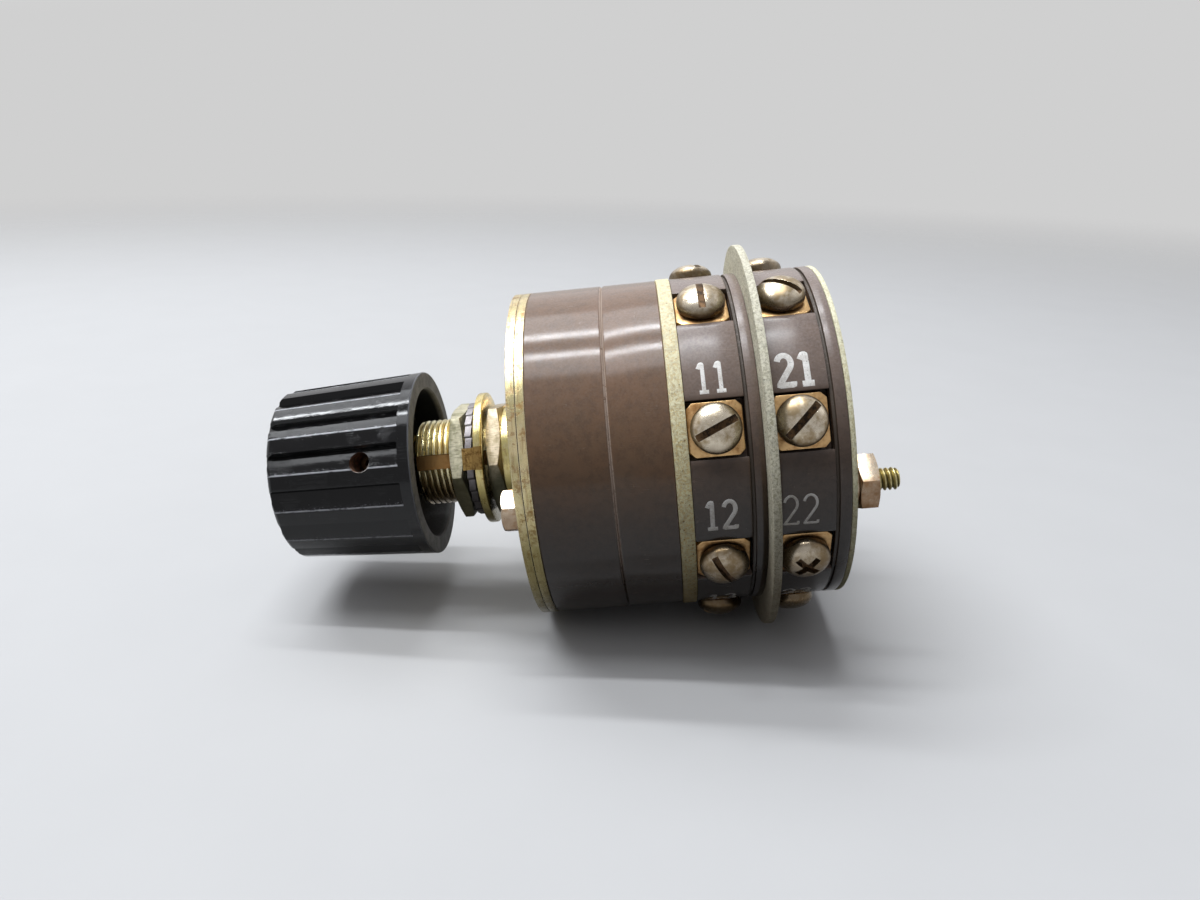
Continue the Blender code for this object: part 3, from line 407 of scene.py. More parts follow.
def make_machining():
    """Fine parallel lines left by turning or milling, as a height."""
    tree, given = new_tree("machining", "Shader", "Float", along=8000.0, outward=8000.0, round=0.02)
    spot = on_shaft(object_place(tree))
    lines = vector(spot.station * given.along, spot.radius * given.outward, spot.angle * given.round)
    return close_tree(tree, noise(lines, 1.0, 2.0))


mottling = make_mottling()
specks = make_specks()
scratches = make_scratches()
edge_wear = make_edge_wear()
settled_dust = make_settled_dust_and_sheen()
underside = make_painted_lower_shade()
flank_stain = make_painted_flank_shade()
machining = make_machining()


class Finish:
    """A material in the making, on the shader's own sockets where a value is the same all over."""

    def __init__(self, name, roughness, metallic=0.0, specular=0.5):
        self.material = bpy.data.materials.new(name)
        self.material.use_nodes = True
        self.tree = self.material.node_tree
        self.sockets = self.tree.nodes["Principled BSDF"].inputs
        self.sockets["Roughness"].default_value = roughness
        self.sockets["Metallic"].default_value = metallic
        self.sockets["Specular IOR Level"].default_value = specular
        self.place = object_place(self.tree)

    def effect(self, group, **values):
        """A shared effect placed in this finish, with its inputs given in plain words."""
        made = self.tree.nodes.new("ShaderNodeGroup")
        made.node_tree = group
        for name, value in values.items():
            connect(value, made.inputs[titled(name)])
        return Field(self.tree, made.outputs[0])

    def closed(self, tone, height, depth, rough=None):
        """The material, from its colour, the height of its bumps in units of a depth, and its roughness."""
        connect(tone, self.sockets["Base Color"])
        if rough:
            connect(rough, self.sockets["Roughness"])
        bumps = add(self.tree, "ShaderNodeBump", {"Height": height, "Distance": depth, "Strength": 1.0})
        connect(bumps["Normal"], self.sockets["Normal"])
        return self.material


# Finishes

def make_knob_black():
    """Black phenolic with pale lines along the edges of its lands, partly wear and dust and partly a painted
    highlight, and a painted highlight line round its rear edge.
    """
    finish = Finish("knob_black_phenolic", 0.2, specular=0.38)
    spot = on_shaft(finish.place)
    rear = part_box("knob")[1].x
    pitch = 360 / FLUTE_COUNT
    cloudy = finish.effect(mottling, patch_size=0.005, low=0.4, high=0.7)
    dust = finish.effect(specks, spacing=0.0010, grain=0.09, share=0.22)
    marks = finish.effect(scratches, length=0.006, spread=0.8, width=0.03, share=0.5)
    # a pale film on what faces up: dust, and in part a painted sheen
    film = finish.effect(settled_dust, amount=0.015)
    from_edge = calc("FRACT", (spot.angle - FLUTE_FIRST) / pitch + 0.5) * pitch - pitch / 2
    broken = noise(vector(spot.station * 700.0, spot.angle * 0.4), 1.0, 4.0, 0.7)
    # pale broken lines on the land edges: wear and dust, and partly a painted highlight
    land_edge_wear_and_highlight = fade(abs(from_edge), 0.7, 0.3) * fade(broken, 0.30, 0.52)
    crumbs = fade(noise(finish.place, 5200.0, 3.0, 0.7), 0.56, 0.68)
    crumbs = crumbs * fade(from_edge, 2.6, 0.4) * (from_edge > 0.0)
    fluted = (spot.station < rear - KNOB_BAND) * (spot.radius > KNOB_FACE_RADIUS)
    rubbed = calc("ADD", land_edge_wear_and_highlight, crumbs * 0.8, clamp=True) * fluted
    # painted highlight: a pale bluish line round the rear edge of the fluted part
    rim = fade(abs(spot.station - (rear - 0.0001)), 0.00016, 0.00004)
    tone = layered(colour(3, 3, 4), (colour(9, 9, 11), cloudy), (colour(196, 198, 204), rubbed * 0.75),
                   (colour(120, 122, 128), rim * 0.5), (colour(120, 118, 114), film),
                   (colour(140, 138, 132), dust * 0.6))
    rough = cloudy * 0.03 + marks * 0.12 + dust * 0.4 + film * 1.2 + rubbed * 0.3 + 0.08
    height = noise(finish.place, 2600.0, 3.0) * 0.16 - marks * 0.4 + cloudy * 0.4 + dust
    return finish.closed(tone, height, 0.00002, rough)


def make_knob_rim():
    """The knob's moulded rear rim and recess: the same phenolic, but dull and dusty, with painted shade
    deeper in the recess and a pale top film that is partly a painted sheen.
    """
    finish = Finish("knob_rim_dull_phenolic", 0.62, specular=0.3)
    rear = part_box("knob")[1].x
    cloudy = finish.effect(mottling, patch_size=0.002, low=0.35, high=0.7)
    dust = finish.effect(specks, spacing=0.0009, grain=0.14, share=0.3)
    # painted shade: darker the deeper it goes into the recess
    deep = fade(axes(finish.place)[0], rear - 0.0003, rear - 0.0009)
    tone = layered(colour(122, 122, 122), (colour(84, 84, 86), cloudy), (colour(12, 12, 13), deep),
                   # a pale film on what faces up: dust, and in part a painted sheen
                   (colour(118, 117, 115), finish.effect(settled_dust, amount=0.7)),
                   (colour(120, 118, 114), dust * 0.35))
    return finish.closed(tone, noise(finish.place, 4000.0, 5.0, 0.7), 0.00003)


def make_patchy(name, first, second, patch_size, low, high, roughness, depth, metallic=0.0):
    """A rough surface of two colours in patches, for the small places that are hardly seen."""
    finish = Finish(name, roughness, metallic)
    patches = finish.effect(mottling, patch_size=patch_size, low=low, high=high)
    return finish.closed(layered(first, (second, patches)), patches, depth)


def make_moulding(name, plain, ruddy, dark, lint_tone, roughness, dust_amount):
    """Glossy moulded phenolic: mottling, scratches, specks, dust in its seam, a pale top film of dust and
    painted sheen, and painted shade below.
    """
    finish = Finish(name, roughness, specular=0.42)
    spot = on_shaft(finish.place)
    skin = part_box("front_housing")[1].z
    wide = finish.effect(mottling, patch_size=0.011, low=0.38, high=0.66)
    fine = finish.effect(mottling, patch_size=0.0011, low=0.42, high=0.66)
    dust = finish.effect(specks, spacing=0.0014, grain=0.07, share=0.3)
    marks = finish.effect(scratches, length=0.0035, spread=0.7, width=0.02, share=0.6)
    # a pale film on what faces up: dust, and in part a painted sheen
    film = finish.effect(settled_dust, amount=dust_amount)
    streak = noise(vector(spot.station * 2400.0, spot.angle * 0.05), 1.0, 3.0)
    in_seam = fade(spot.radius, skin - 0.00003, skin - 0.00014) * (spot.radius > skin - 0.0006)
    lint = in_seam * fade(noise(finish.place, 2400.0, 4.0, 0.7), 0.26, 0.48)
    lint = lint * fade(spot.radius * sine(spot.angle), -0.013, -0.004)
    tone = layered(plain, (ruddy, wide), (dark, fine * 0.3), (ruddy, fade(streak, 0.55, 0.8, 0.0, 0.3)),
                   # painted shade: the dark tone over what faces down
                   (dark, finish.effect(underside, amount=0.75)), (colour(192, 178, 172), film),
                   (lint_tone, lint * 0.85), (colour(190, 180, 166), dust * 0.6),
                   (colour(140, 118, 100), marks * 0.25))
    rough = fine * 0.03 + wide * 0.02 + marks * 0.2 + film * 0.25 + lint * 0.4 + roughness
    height = noise(finish.place, 1500.0, 4.0, 0.6) * 0.25 + streak * 0.1 - marks * 0.4 + dust * 1.5
    return finish.closed(tone, height, 0.000012, rough)


def make_fibre(name, pale, middle, dark, low_tone, low_tone_start, grain_depth):
    """Pressed fibre: speckled, matte, darker and browner towards the bottom."""
    finish = Finish(name, 0.82, specular=0.3)
    speckled = fade(noise(finish.place, 3400.0, 5.0, 0.8), 0.41, 0.53)
    dots = finish.effect(specks, spacing=0.00046, grain=0.38, share=0.5)
    wide = finish.effect(mottling, patch_size=0.006, low=0.4, high=0.62)
    coarse = finish.effect(mottling, patch_size=0.00075, low=0.48, high=0.60)
    # darker and browner towards the bottom
    low_side = fade(axes(finish.place)[2], low_tone_start, -0.016)
    tone = layered(middle, (pale, speckled), (dark, dots * 0.6 + coarse * 0.22),
                   (low_tone, low_side * 0.62 + wide * 0.12),
                   # a pale film on what faces up: dust, and in part a painted sheen
                   (colour(240, 236, 222), finish.effect(settled_dust, amount=0.35)))
    stretched = vector_calc("MULTIPLY", finish.place, (5200.0, 1600.0, 1600.0))[0]
    height = noise(stretched, 1.0, 4.0, 0.7) * 0.6 + speckled * 0.4
    return finish.closed(tone, height, grain_depth)


def make_plating(name, bright, brown, green, roughness, brown_low=0.5, rubbed=0.4):
    """Yellow plating gone patchy, with brown mottling, a green tinge, and painted shade on what faces down.
    """
    finish = Finish(name, roughness, 1.0)
    patches = finish.effect(mottling, patch_size=0.0012, low=brown_low, high=brown_low + 0.13)
    tinge = finish.effect(mottling, patch_size=0.0075, low=0.46, high=0.6)
    spots = finish.effect(specks, spacing=0.0006, grain=0.28, share=0.4)
    worn = finish.effect(edge_wear, low=0.3, high=0.8)
    rings = finish.effect(machining, along=9000.0, outward=9000.0, round=0.01)
    streaks = finish.effect(machining, along=3400.0, outward=2600.0, round=0.10)
    tone = layered(bright, (green, tinge * 0.7), (brown, fade(streaks, 0.50, 0.66, 0.0, 0.4)),
                   (brown, patches * 0.75), (brown, spots * 0.6), (colour(250, 240, 214), worn * rubbed),
                   # painted shade: dark brown over what faces down
                   (colour(88, 80, 44), finish.effect(underside, amount=0.9)))
    rough = patches * 0.16 + spots * 0.15 - worn * 0.06 + roughness
    height = noise(finish.place, 5200.0, 4.0, 0.7) * 0.5 + rings * 0.5 - patches * 0.6
    return finish.closed(tone, height, 0.000014, rough)


def make_tarnished(name, bright, dull, deep, roughness, milled=0.0, pitting=0.45, lower_shade=0.6, flank_shade=0.0):
    """Old plated metal: bright where it is rubbed, dull and dark in between, with painted shade on what faces
    down and on sloping sides, and painted shade with dirt in hollows.
    """
    finish = Finish(name, roughness, 1.0)
    cloudy = finish.effect(mottling, patch_size=0.0026, low=0.4, high=0.62)
    pits = finish.effect(specks, spacing=0.00038, grain=0.34, share=0.42)
    worn = finish.effect(edge_wear, low=0.35, high=0.85)
    lines = finish.effect(machining, along=900.0, outward=5000.0, round=2.0)
    # darkness in hollows: painted shade, with some dirt
    crevice = stored(finish.tree, "crevice")
    tone = layered(bright, (dull, cloudy), (deep, pits * pitting), (deep, fade(lines, 0.5, 0.62) * milled),
                   # painted shade: the deep tone on sloping sides, such as those of domed heads
                   (bright, worn), (deep, finish.effect(flank_stain, amount=flank_shade)),
                   # painted shade: the deep tone over what faces down
                   (deep, finish.effect(underside, amount=lower_shade)), (deep, crevice))
    rough = cloudy * 0.12 + pits * 0.14 - worn * 0.1 + crevice * 0.3 + roughness
    height = noise(finish.place, 5000.0, 4.0, 0.7) * 0.6 - pits * 0.5 + cloudy * 0.4 + lines * milled * 2.0
    return finish.closed(tone, height, 0.00002, rough)


def make_number_paint():
    """White paint, broken up by wear."""
    finish = Finish("number_paint_white", 0.62, specular=0.3)
    grimy = finish.effect(mottling, patch_size=0.0012, low=0.4, high=0.7)
    kept = fade(noise(finish.place, 5200.0, 5.0, 0.75), 0.31, 0.42)
    connect(kept, finish.sockets["Alpha"])
    return finish.closed(layered(colour(242, 240, 236), (colour(206, 200, 192), grimy)), grimy, 0.00001)


def make_steel():
    finish = Finish("turned_steel", 0.34, 1.0)
    rings = finish.effect(machining, along=12000.0, outward=12000.0, round=0.01)
    grimy = finish.effect(mottling, patch_size=0.002, low=0.4, high=0.7)
    tone = layered(colour(178, 176, 170), (colour(112, 104, 92), grimy))
    return finish.closed(tone, rings, 0.000008, grimy * 0.2 + 0.28)


knob_black = make_knob_black()
knob_rim = make_knob_rim()
hole_wall = make_patchy("hole_wall_brown", colour(150, 112, 90), colour(64, 48, 40), 0.0006, 0.4, 0.6,
                        0.42, 0.00003)
hole_rim = make_patchy("hole_rim_chipped", colour(60, 56, 54), colour(184, 176, 170), 0.0007, 0.38, 0.52,
                       0.5, 0.00005)
# the slot floors' dark brown: dirt, and painted shade where the slots lie in shadow
slot_grime = make_patchy("slot_grime", colour(104, 78, 50), colour(36, 28, 20), 0.0009, 0.4, 0.65,
                         0.5, 0.00004, metallic=0.7)
housing_brown = make_moulding("housing_brown_phenolic", colour(106, 79, 54), colour(113, 81, 53),
                              colour(34, 25, 16), colour(186, 168, 154), 0.10, 0.26)
deck_brown = make_moulding("deck_brown_phenolic", colour(90, 73, 61), colour(96, 76, 61),
                           colour(30, 24, 18), colour(72, 64, 54), 0.15, 0.46)
rotor_black = make_moulding("rotor_black_phenolic", colour(34, 32, 31), colour(40, 36, 33),
                            colour(24, 23, 22), colour(60, 56, 52), 0.3, 0.05)
tan_fibre = make_fibre("tan_fibre", colour(255, 248, 206), colour(244, 220, 154), colour(146, 110, 56),
                       colour(128, 104, 62), -0.005, 0.00007)
green_fibre = make_fibre("green_fibre", colour(234, 230, 208), colour(184, 178, 148), colour(98, 92, 68),
                         colour(126, 110, 90), 0.003, 0.00005)
olive_fibre = make_fibre("olive_fibre", colour(250, 246, 212), colour(224, 214, 168), colour(128, 118, 80),
                         colour(132, 124, 84), -0.008, 0.00005)
plate_gold = make_plating("plate_gold", colour(252, 232, 178), colour(150, 104, 54), colour(210, 200, 146),
                          0.26, 0.49)
washer_gold = make_plating("washer_gold", colour(242, 222, 150), colour(156, 116, 62), colour(200, 190, 124),
                           0.24, 0.56)
lug_bronze = make_plating("lug_bronze", colour(186, 152, 92), colour(96, 66, 36), colour(140, 112, 66),
                          0.34, 0.48, rubbed=0.0)
# the metals below darken what faces down as painted shade, by the amount given for it
thread_brass = make_tarnished("thread_brass", colour(250, 242, 200), colour(226, 204, 148),
                              colour(84, 66, 40), 0.26, lower_shade=0.92)
# painted reflection: the keyway's flat is a darker brown, standing for the dark surroundings it reflects
keyway_brass = make_tarnished("keyway_brass", colour(196, 152, 96), colour(160, 112, 64),
                              colour(84, 58, 34), 0.44, lower_shade=0.3)
stud_brass = make_tarnished("stud_brass", colour(228, 216, 160), colour(180, 164, 108),
                            colour(56, 50, 34), 0.34)
panel_nut_grey = make_tarnished("panel_nut_grey", colour(216, 210, 184), colour(166, 162, 134),
                                colour(66, 62, 44), 0.50, milled=0.5, lower_shade=0.95)
backing_nut_grey = make_tarnished("backing_nut_grey", colour(202, 188, 164), colour(162, 150, 124),
                                  colour(60, 60, 46), 0.42, milled=0.4, lower_shade=0.96)
lock_washer_grey = make_tarnished("lock_washer_grey", colour(154, 149, 150), colour(108, 104, 104),
                                  colour(46, 42, 40), 0.62, milled=0.5, lower_shade=0.9)
# the screw heads get painted shade on their sloping sides
screw_nickel = make_tarnished("screw_nickel", colour(232, 220, 198), colour(168, 148, 116),
                              colour(84, 66, 42), 0.25, lower_shade=0.75, flank_shade=0.75)
contact_copper = make_tarnished("contact_copper", colour(232, 192, 136), colour(172, 124, 76),
                                colour(78, 54, 32), 0.36, pitting=0.6, lower_shade=0.5)
bolt_bronze = make_tarnished("bolt_bronze", colour(244, 226, 200), colour(204, 164, 124),
                             colour(104, 74, 48), 0.28, lower_shade=0.95)
steel = make_steel()
number_paint = make_number_paint()


# Shapes

def span(node):
    """The stations where a solid starts and ends."""
    low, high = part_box(node)
    return low.x, high.x


def outer_radius(node):
    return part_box(node)[1].z


def place_at(clock, radius=0.0, station=0.0):
    """The frame on a drum at a clock angle: X along the shaft, Y round it upwards, Z outwards."""
    turn = radians(clock)
    out = Vector((0.0, -cos(turn), sin(turn)))
    around = Vector((0.0, sin(turn), cos(turn)))
    spot = out * radius + Vector((station, 0.0, 0.0))
    return Matrix(((1.0, around.x, out.x, spot.x), (0.0, around.y, out.y, spot.y),
                   (0.0, around.z, out.z, spot.z), (0.0, 0.0, 0.0, 1.0)))


def to_mesh(name, shape):
    mesh = bpy.data.meshes.new(name)
    shape.to_mesh(mesh)
    shape.free()
    return mesh


def rounded(profile, size=EDGE_ROUND):
    """A closed outline with each corner swapped for a small curve."""
    points = [Vector(point) for point in profile]
    result = []
    for i, corner in enumerate(points):
        before, after = points[i - 1] - corner, points[(i + 1) % len(points)] - corner
        cut = min(size, before.length * 0.45, after.length * 0.45)
        first, last = corner + before.normalized() * cut, corner + after.normalized() * cut
        result += [first, (first + last) / 4 + corner / 2, last]
    return [tuple(point) for point in result]


def lathe(name, profile, steps=ROUND_STEPS, axis=(1.0, 0.0, 0.0), closed=True):
    """A body turned from a profile of (place along the axis, radius) points."""
    shape = bmesh.new()
    along = Vector(axis)
    outwards = Vector((0.0, 0.0, 1.0)) if axis[0] else Vector((1.0, 0.0, 0.0))
    verts = [shape.verts.new(along * point[0] + outwards * point[1]) for point in profile]
    pairs = list(zip(verts, verts[1:] + verts[:1]))
    edges = [shape.edges.new(pair) for pair in (pairs if closed else pairs[:-1])]
    bmesh.ops.spin(shape, geom=verts + edges, cent=(0.0, 0.0, 0.0), axis=axis, angle=2 * pi, steps=steps)
    bmesh.ops.remove_doubles(shape, verts=shape.verts, dist=WELD)
    bmesh.ops.recalc_face_normals(shape, faces=shape.faces)
    return to_mesh(name, shape)


def turned_ring(name, start, end, inner, outer, edge=EDGE_ROUND, steps=ROUND_STEPS):
    return lathe(name, rounded([(start, inner), (start, outer), (end, outer), (end, inner)], edge), steps)


def prism(name, outline, start, end):
    """An outline of (y, z) points drawn out along X."""
    shape = bmesh.new()
    face = shape.faces.new([shape.verts.new((start, y, z)) for y, z in outline])
    grown = bmesh.ops.extrude_face_region(shape, geom=[face])
    far = [item for item in grown["geom"] if isinstance(item, bmesh.types.BMVert)]
    bmesh.ops.translate(shape, verts=far, vec=(end - start, 0.0, 0.0))
    bmesh.ops.recalc_face_normals(shape, faces=shape.faces)
    return to_mesh(name, shape)


def block(name, low, high, matrix=Matrix()):
    shape = bmesh.new()
    size = [b - a for a, b in zip(low, high)]
    middle = Vector([(a + b) / 2 for a, b in zip(low, high)])
    bmesh.ops.create_cube(shape, size=1.0, matrix=matrix @ Matrix.Translation(middle)
                          @ Matrix.Diagonal((*size, 1.0)))
    return to_mesh(name, shape)


def cone(name, radius, far_radius, start, end, matrix=Matrix()):
    """A round bar along its own Z, straight or tapered."""
    shape = bmesh.new()
    shift = Matrix.Translation((0.0, 0.0, (start + end) / 2))
    bmesh.ops.create_cone(shape, cap_ends=True, segments=FINE_STEPS, radius1=radius, radius2=far_radius,
                          depth=end - start, matrix=matrix @ shift)
    return to_mesh(name, shape)


def bore(name, radius, start, end):
    """A cutter along the shaft's line."""
    return cone(name, radius, radius, start - BEYOND, end + BEYOND, Matrix.Rotation(pi / 2, 4, "Y"))


def scratch_object(name, mesh):
    made = bpy.data.objects.new(name, mesh)
    bpy.context.scene.collection.objects.link(made)
    return made


def evaluated(made):
    bpy.context.view_layer.update()
    return bpy.data.meshes.new_from_object(made.evaluated_get(bpy.context.evaluated_depsgraph_get()))


def carved(mesh, cutters=(), kept=None, joined=(), bevel=0.0):
    """A mesh after Boolean steps, with its edges rounded when a bevel is given."""
    body = scratch_object(mesh.name + "_blank", mesh)
    tools = []
    kept_shapes = [kept] if kept else []
    for operation, shapes in (("UNION", joined), ("INTERSECT", kept_shapes), ("DIFFERENCE", cutters)):
        for shape in shapes:
            tool = scratch_object(shape.name + "_tool", shape)
            tools.append(tool)
            step = body.modifiers.new(shape.name, "BOOLEAN")
            step.object = tool
            step.operation = operation
            step.solver = "EXACT"
            step.material_mode = "TRANSFER"
    if bevel:
        step = body.modifiers.new("edges", "BEVEL")
        step.width = bevel
        step.segments = 2
        step.limit_method = "ANGLE"
        step.angle_limit = radians(28)
    result = evaluated(body)
    body.modifiers.clear()
    for made in [body, *tools]:
        bpy.data.objects.remove(made)
    return result


def painted(mesh, material):
    mesh.materials.clear()
    mesh.materials.append(material)
    return mesh


def joined_mesh(name, meshes):
    """Several meshes as one, each with its own first material, and the list of those materials."""
    materials = []
    shape = bmesh.new()
    for mesh in meshes:
        first = len(shape.faces)
        offset = len(materials)
        materials += list(mesh.materials)
        shape.from_mesh(mesh)
        shape.faces.ensure_lookup_table()
        for face in shape.faces[first:]:
            face.material_index += offset
    return to_mesh(name, shape), materials


def mark_edges(mesh):
    """Store at each point how sharply its faces meet, for worn edges, and how hollow it is, for dirt and
    painted shade in hollows.
    """
    shape = bmesh.new()
    shape.from_mesh(mesh)
    sharp, hollow = [], []
    for vert in shape.verts:
        bends = [edge.calc_face_angle_signed(0.0) for edge in vert.link_edges]
        sharp.append(min(1.0, max(bends + [0.0]) / (pi / 4)))
        hollow.append(min(1.0, max([-bend for bend in bends] + [0.0]) / (pi / 3)))
    shape.free()
    for name, values in (("edge", sharp), ("crevice", hollow)):
        kept = mesh.attributes.get(name) or mesh.attributes.new(name, "FLOAT", "POINT")
        kept.data.foreach_set("value", values)


def add_piece(name, mesh, materials, body, nodes, sharp=SHARP_ANGLE):
    """Put a finished mesh in the scene, on the body that it moves with."""
    mesh.name = name
    made = scratch_object(name, mesh)
    for number, material in enumerate(materials):
        if number < len(mesh.materials):
            mesh.materials[number] = material
        else:
            mesh.materials.append(material)
    mesh.shade_smooth()
    mesh.set_sharp_from_angle(angle=radians(sharp))
    mark_edges(mesh)
    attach(made, body)
    if nodes:
        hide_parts(*nodes)


def merged_copy(node, bevel=0.0):
    """A solid's mesh with its points merged, its flat faces joined up, and its edges rounded when a bevel is
    given.
    """
    shape = bmesh.new()
    shape.from_mesh(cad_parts[node].data)
    bmesh.ops.remove_doubles(shape, verts=shape.verts, dist=0.000001)
    bmesh.ops.dissolve_limit(shape, angle_limit=radians(1), verts=shape.verts, edges=shape.edges)
    return carved(to_mesh(node + "_copy", shape), bevel=bevel)


# Geometry trees

def geometry_tree(name, **inputs):
    return new_tree(name, "Geometry", "Geometry", geometry="Geometry", **inputs, material="Material")


def close_geometry(tree, given, geometry, chosen=True):
    """Makes the instances real and sets the material on the chosen faces, which are all unless said."""
    whole = add(tree, "GeometryNodeRealizeInstances", {"Geometry": geometry})[0]
    inputs = {"Geometry": whole, "Selection": chosen, "Material": given.material}
    return close_tree(tree, add(tree, "GeometryNodeSetMaterial", inputs)[0])


def run_tree(tree, mesh, material, **values):
    """The mesh that a tree makes from a blank, with its inputs given in plain words."""
    blank = scratch_object(tree.name + "_blank", mesh)
    step = blank.modifiers.new(tree.name, "NODES")
    step.node_group = tree
    wanted = {titled(name): value for name, value in values.items()}
    wanted["Material"] = material
    for item in tree.interface.items_tree:
        if item.in_out == "INPUT" and item.name in wanted:
            step[item.identifier] = wanted[item.name]
    result = evaluated(blank)
    blank.modifiers.clear()
    bpy.data.objects.remove(blank)
    return result if result.materials[0] else painted(result, material)


def point_place(tree):
    return add(tree, "GeometryNodeInputPosition")[0]


def moved_to(geometry, place):
    return add(place.tree, "GeometryNodeSetPosition", {"Geometry": geometry, "Position": place})[0]


def make_flute_tree():
    """Presses saw-tooth flutes into a turned and tapered knob, up to the plain band at its rear."""
    tree, given = geometry_tree(
        "saw_tooth_flutes", flute_count=FLUTE_COUNT, flute_depth=FLUTE_DEPTH, ramp=FLUTE_RAMP,
        wall=FLUTE_WALL, first_edge=FLUTE_FIRST, flute_end=0.0, nose_station=0.0,
        nose_radius=KNOB_NOSE_RADIUS, taper=0.05)
    spot = on_shaft(point_place(tree))
    pitch = 360.0 / given.flute_count
    phase = calc("FRACT", (spot.angle - given.first_edge) / pitch) * pitch
    back = (given.ramp + given.wall - phase) / given.wall
    cut = calc("MAXIMUM", calc("MINIMUM", phase / given.ramp, back), 0.0)
    land = (spot.station - given.nose_station) * given.taper + given.nose_radius
    floor = land - cut * (spot.station < given.flute_end) * given.flute_depth
    pressed = on_drum(spot.station, calc("MINIMUM", spot.radius, floor), spot.angle)
    return close_geometry(tree, given, moved_to(given.geometry, pressed))


def make_thread_tree():
    """A threaded bar along X, made from a grid that is rolled up and closed at its ends."""
    tree, given = geometry_tree(
        "screw_thread", start=0.0, end=0.01, radius=THREAD_RADIUS, depth=THREAD_DEPTH, pitch=THREAD_PITCH,
        crest=THREAD_CREST, core=0.0, rows=200, columns=97)
    grid = add(tree, "GeometryNodeMeshGrid", {"Size X": 1.0, "Size Y": 1.0, "Vertices X": given.rows,
                                              "Vertices Y": given.columns})[0]
    x, y, z = axes(point_place(tree))
    last = given.rows - 1.0
    row = calc("ROUND", (x + 0.5) * last)
    share = calc("DIVIDE", row - 1.0, last - 2.0, clamp=True)
    station = share * (given.end - given.start) + given.start
    angle = (y + 0.5) * 360.0
    from_crest = abs(calc("FRACT", station / given.pitch + angle / 360.0) - 0.5)
    half_crest = given.crest / 2.0
    groove = calc("DIVIDE", from_crest - half_crest, 0.46 - half_crest, clamp=True)
    ridge = given.radius - groove * given.depth
    from_end = calc("MINIMUM", station - given.start, given.end - station)
    outer = calc("MINIMUM", ridge, given.radius - given.depth + from_end)
    inside = abs(row - last / 2.0) < last / 2.0 - 0.5
    radius = outer * inside + given.core * (1.0 - inside)
    rolled = moved_to(grid, on_drum(station, radius, angle))
    closed = add(tree, "GeometryNodeMergeByDistance", {"Geometry": rolled, "Distance": WELD})[0]
    return close_geometry(tree, given, closed)


def make_tooth_tree():
    """Cuts gaps into a washer's outside and twists the teeth that stay."""
    tree, given = geometry_tree("washer_teeth", tooth_count=TOOTH_COUNT, tooth_share=TOOTH_SHARE,
                                root=WASHER_ROOT, tip=0.0079, twist=TOOTH_TWIST)
    spot = on_shaft(point_place(tree))
    side = calc("FRACT", spot.angle * (given.tooth_count / 360.0)) - 0.5
    gap = abs(side) > given.tooth_share / 2.0
    outer = calc("MINIMUM", spot.radius, given.tip - gap * (given.tip - given.root))
    turned = side * given.twist * fade(outer, given.root, given.tip) + spot.station
    return close_geometry(tree, given, moved_to(given.geometry, on_drum(turned, outer, spot.angle)))


def make_terminal_tree():
    """Sets one piece at each point of a blank, turned as the point's own angles say."""
    tree, given = geometry_tree("terminal_places", piece="Object")
    piece = add(tree, "GeometryNodeObjectInfo", {"Object": given.piece})["Geometry"]
    angles = add(tree, "GeometryNodeInputNamedAttribute", {"Name": "angles"}, data_type="FLOAT_VECTOR")
    turn = add(tree, "FunctionNodeEulerToRotation", {0: angles["Attribute"]})[0]
    placed = add(tree, "GeometryNodeInstanceOnPoints", {
        "Points": given.geometry, "Instance": piece, "Rotation": turn})[0]
    number = add(tree, "GeometryNodeInputMaterialIndex")[0]
    first = add(tree, "FunctionNodeCompare", {2: number, 3: 0}, data_type="INT", operation="EQUAL")[0]
    return close_geometry(tree, given, placed, chosen=first)


def make_stroke_tree():
    """Brush strokes along a blank's edges, laid flat and wrapped round a drum."""
    tree, given = geometry_tree("painted_strokes", stroke=0.0004, thickness=PAINT_THICKNESS, drum=0.02225,
                                station=0.0, clock=0.0)
    line = add(tree, "GeometryNodeMeshToCurve", {"Mesh": given.geometry})[0]
    line = add(tree, "GeometryNodeResampleCurve", {"Curve": line, "Length": 0.00012}, mode="LENGTH")[0]
    brush = add(tree, "GeometryNodeCurvePrimitiveCircle", {"Resolution": 10, "Radius": given.stroke / 2.0})[0]
    stroke = add(tree, "GeometryNodeCurveToMesh", {
        "Curve": line, "Profile Curve": brush, "Fill Caps": True})[0]
    x, y, z = axes(point_place(tree))
    radius = given.drum + z * given.thickness / given.stroke * 2.0
    rise = y / given.drum * (180 / pi)
    wrapped = on_drum(x + given.station, radius, rise + given.clock)
    return close_geometry(tree, given, moved_to(stroke, wrapped))


flute_tree = make_flute_tree()
thread_tree = make_thread_tree()
tooth_tree = make_tooth_tree()
terminal_tree = make_terminal_tree()
stroke_tree = make_stroke_tree()


def threaded_bar(material, rows, columns, **sizes):
    blank = bpy.data.meshes.new("no_blank")
    return run_tree(thread_tree, blank, material, rows=rows, columns=columns, **sizes)


# Pieces that turn

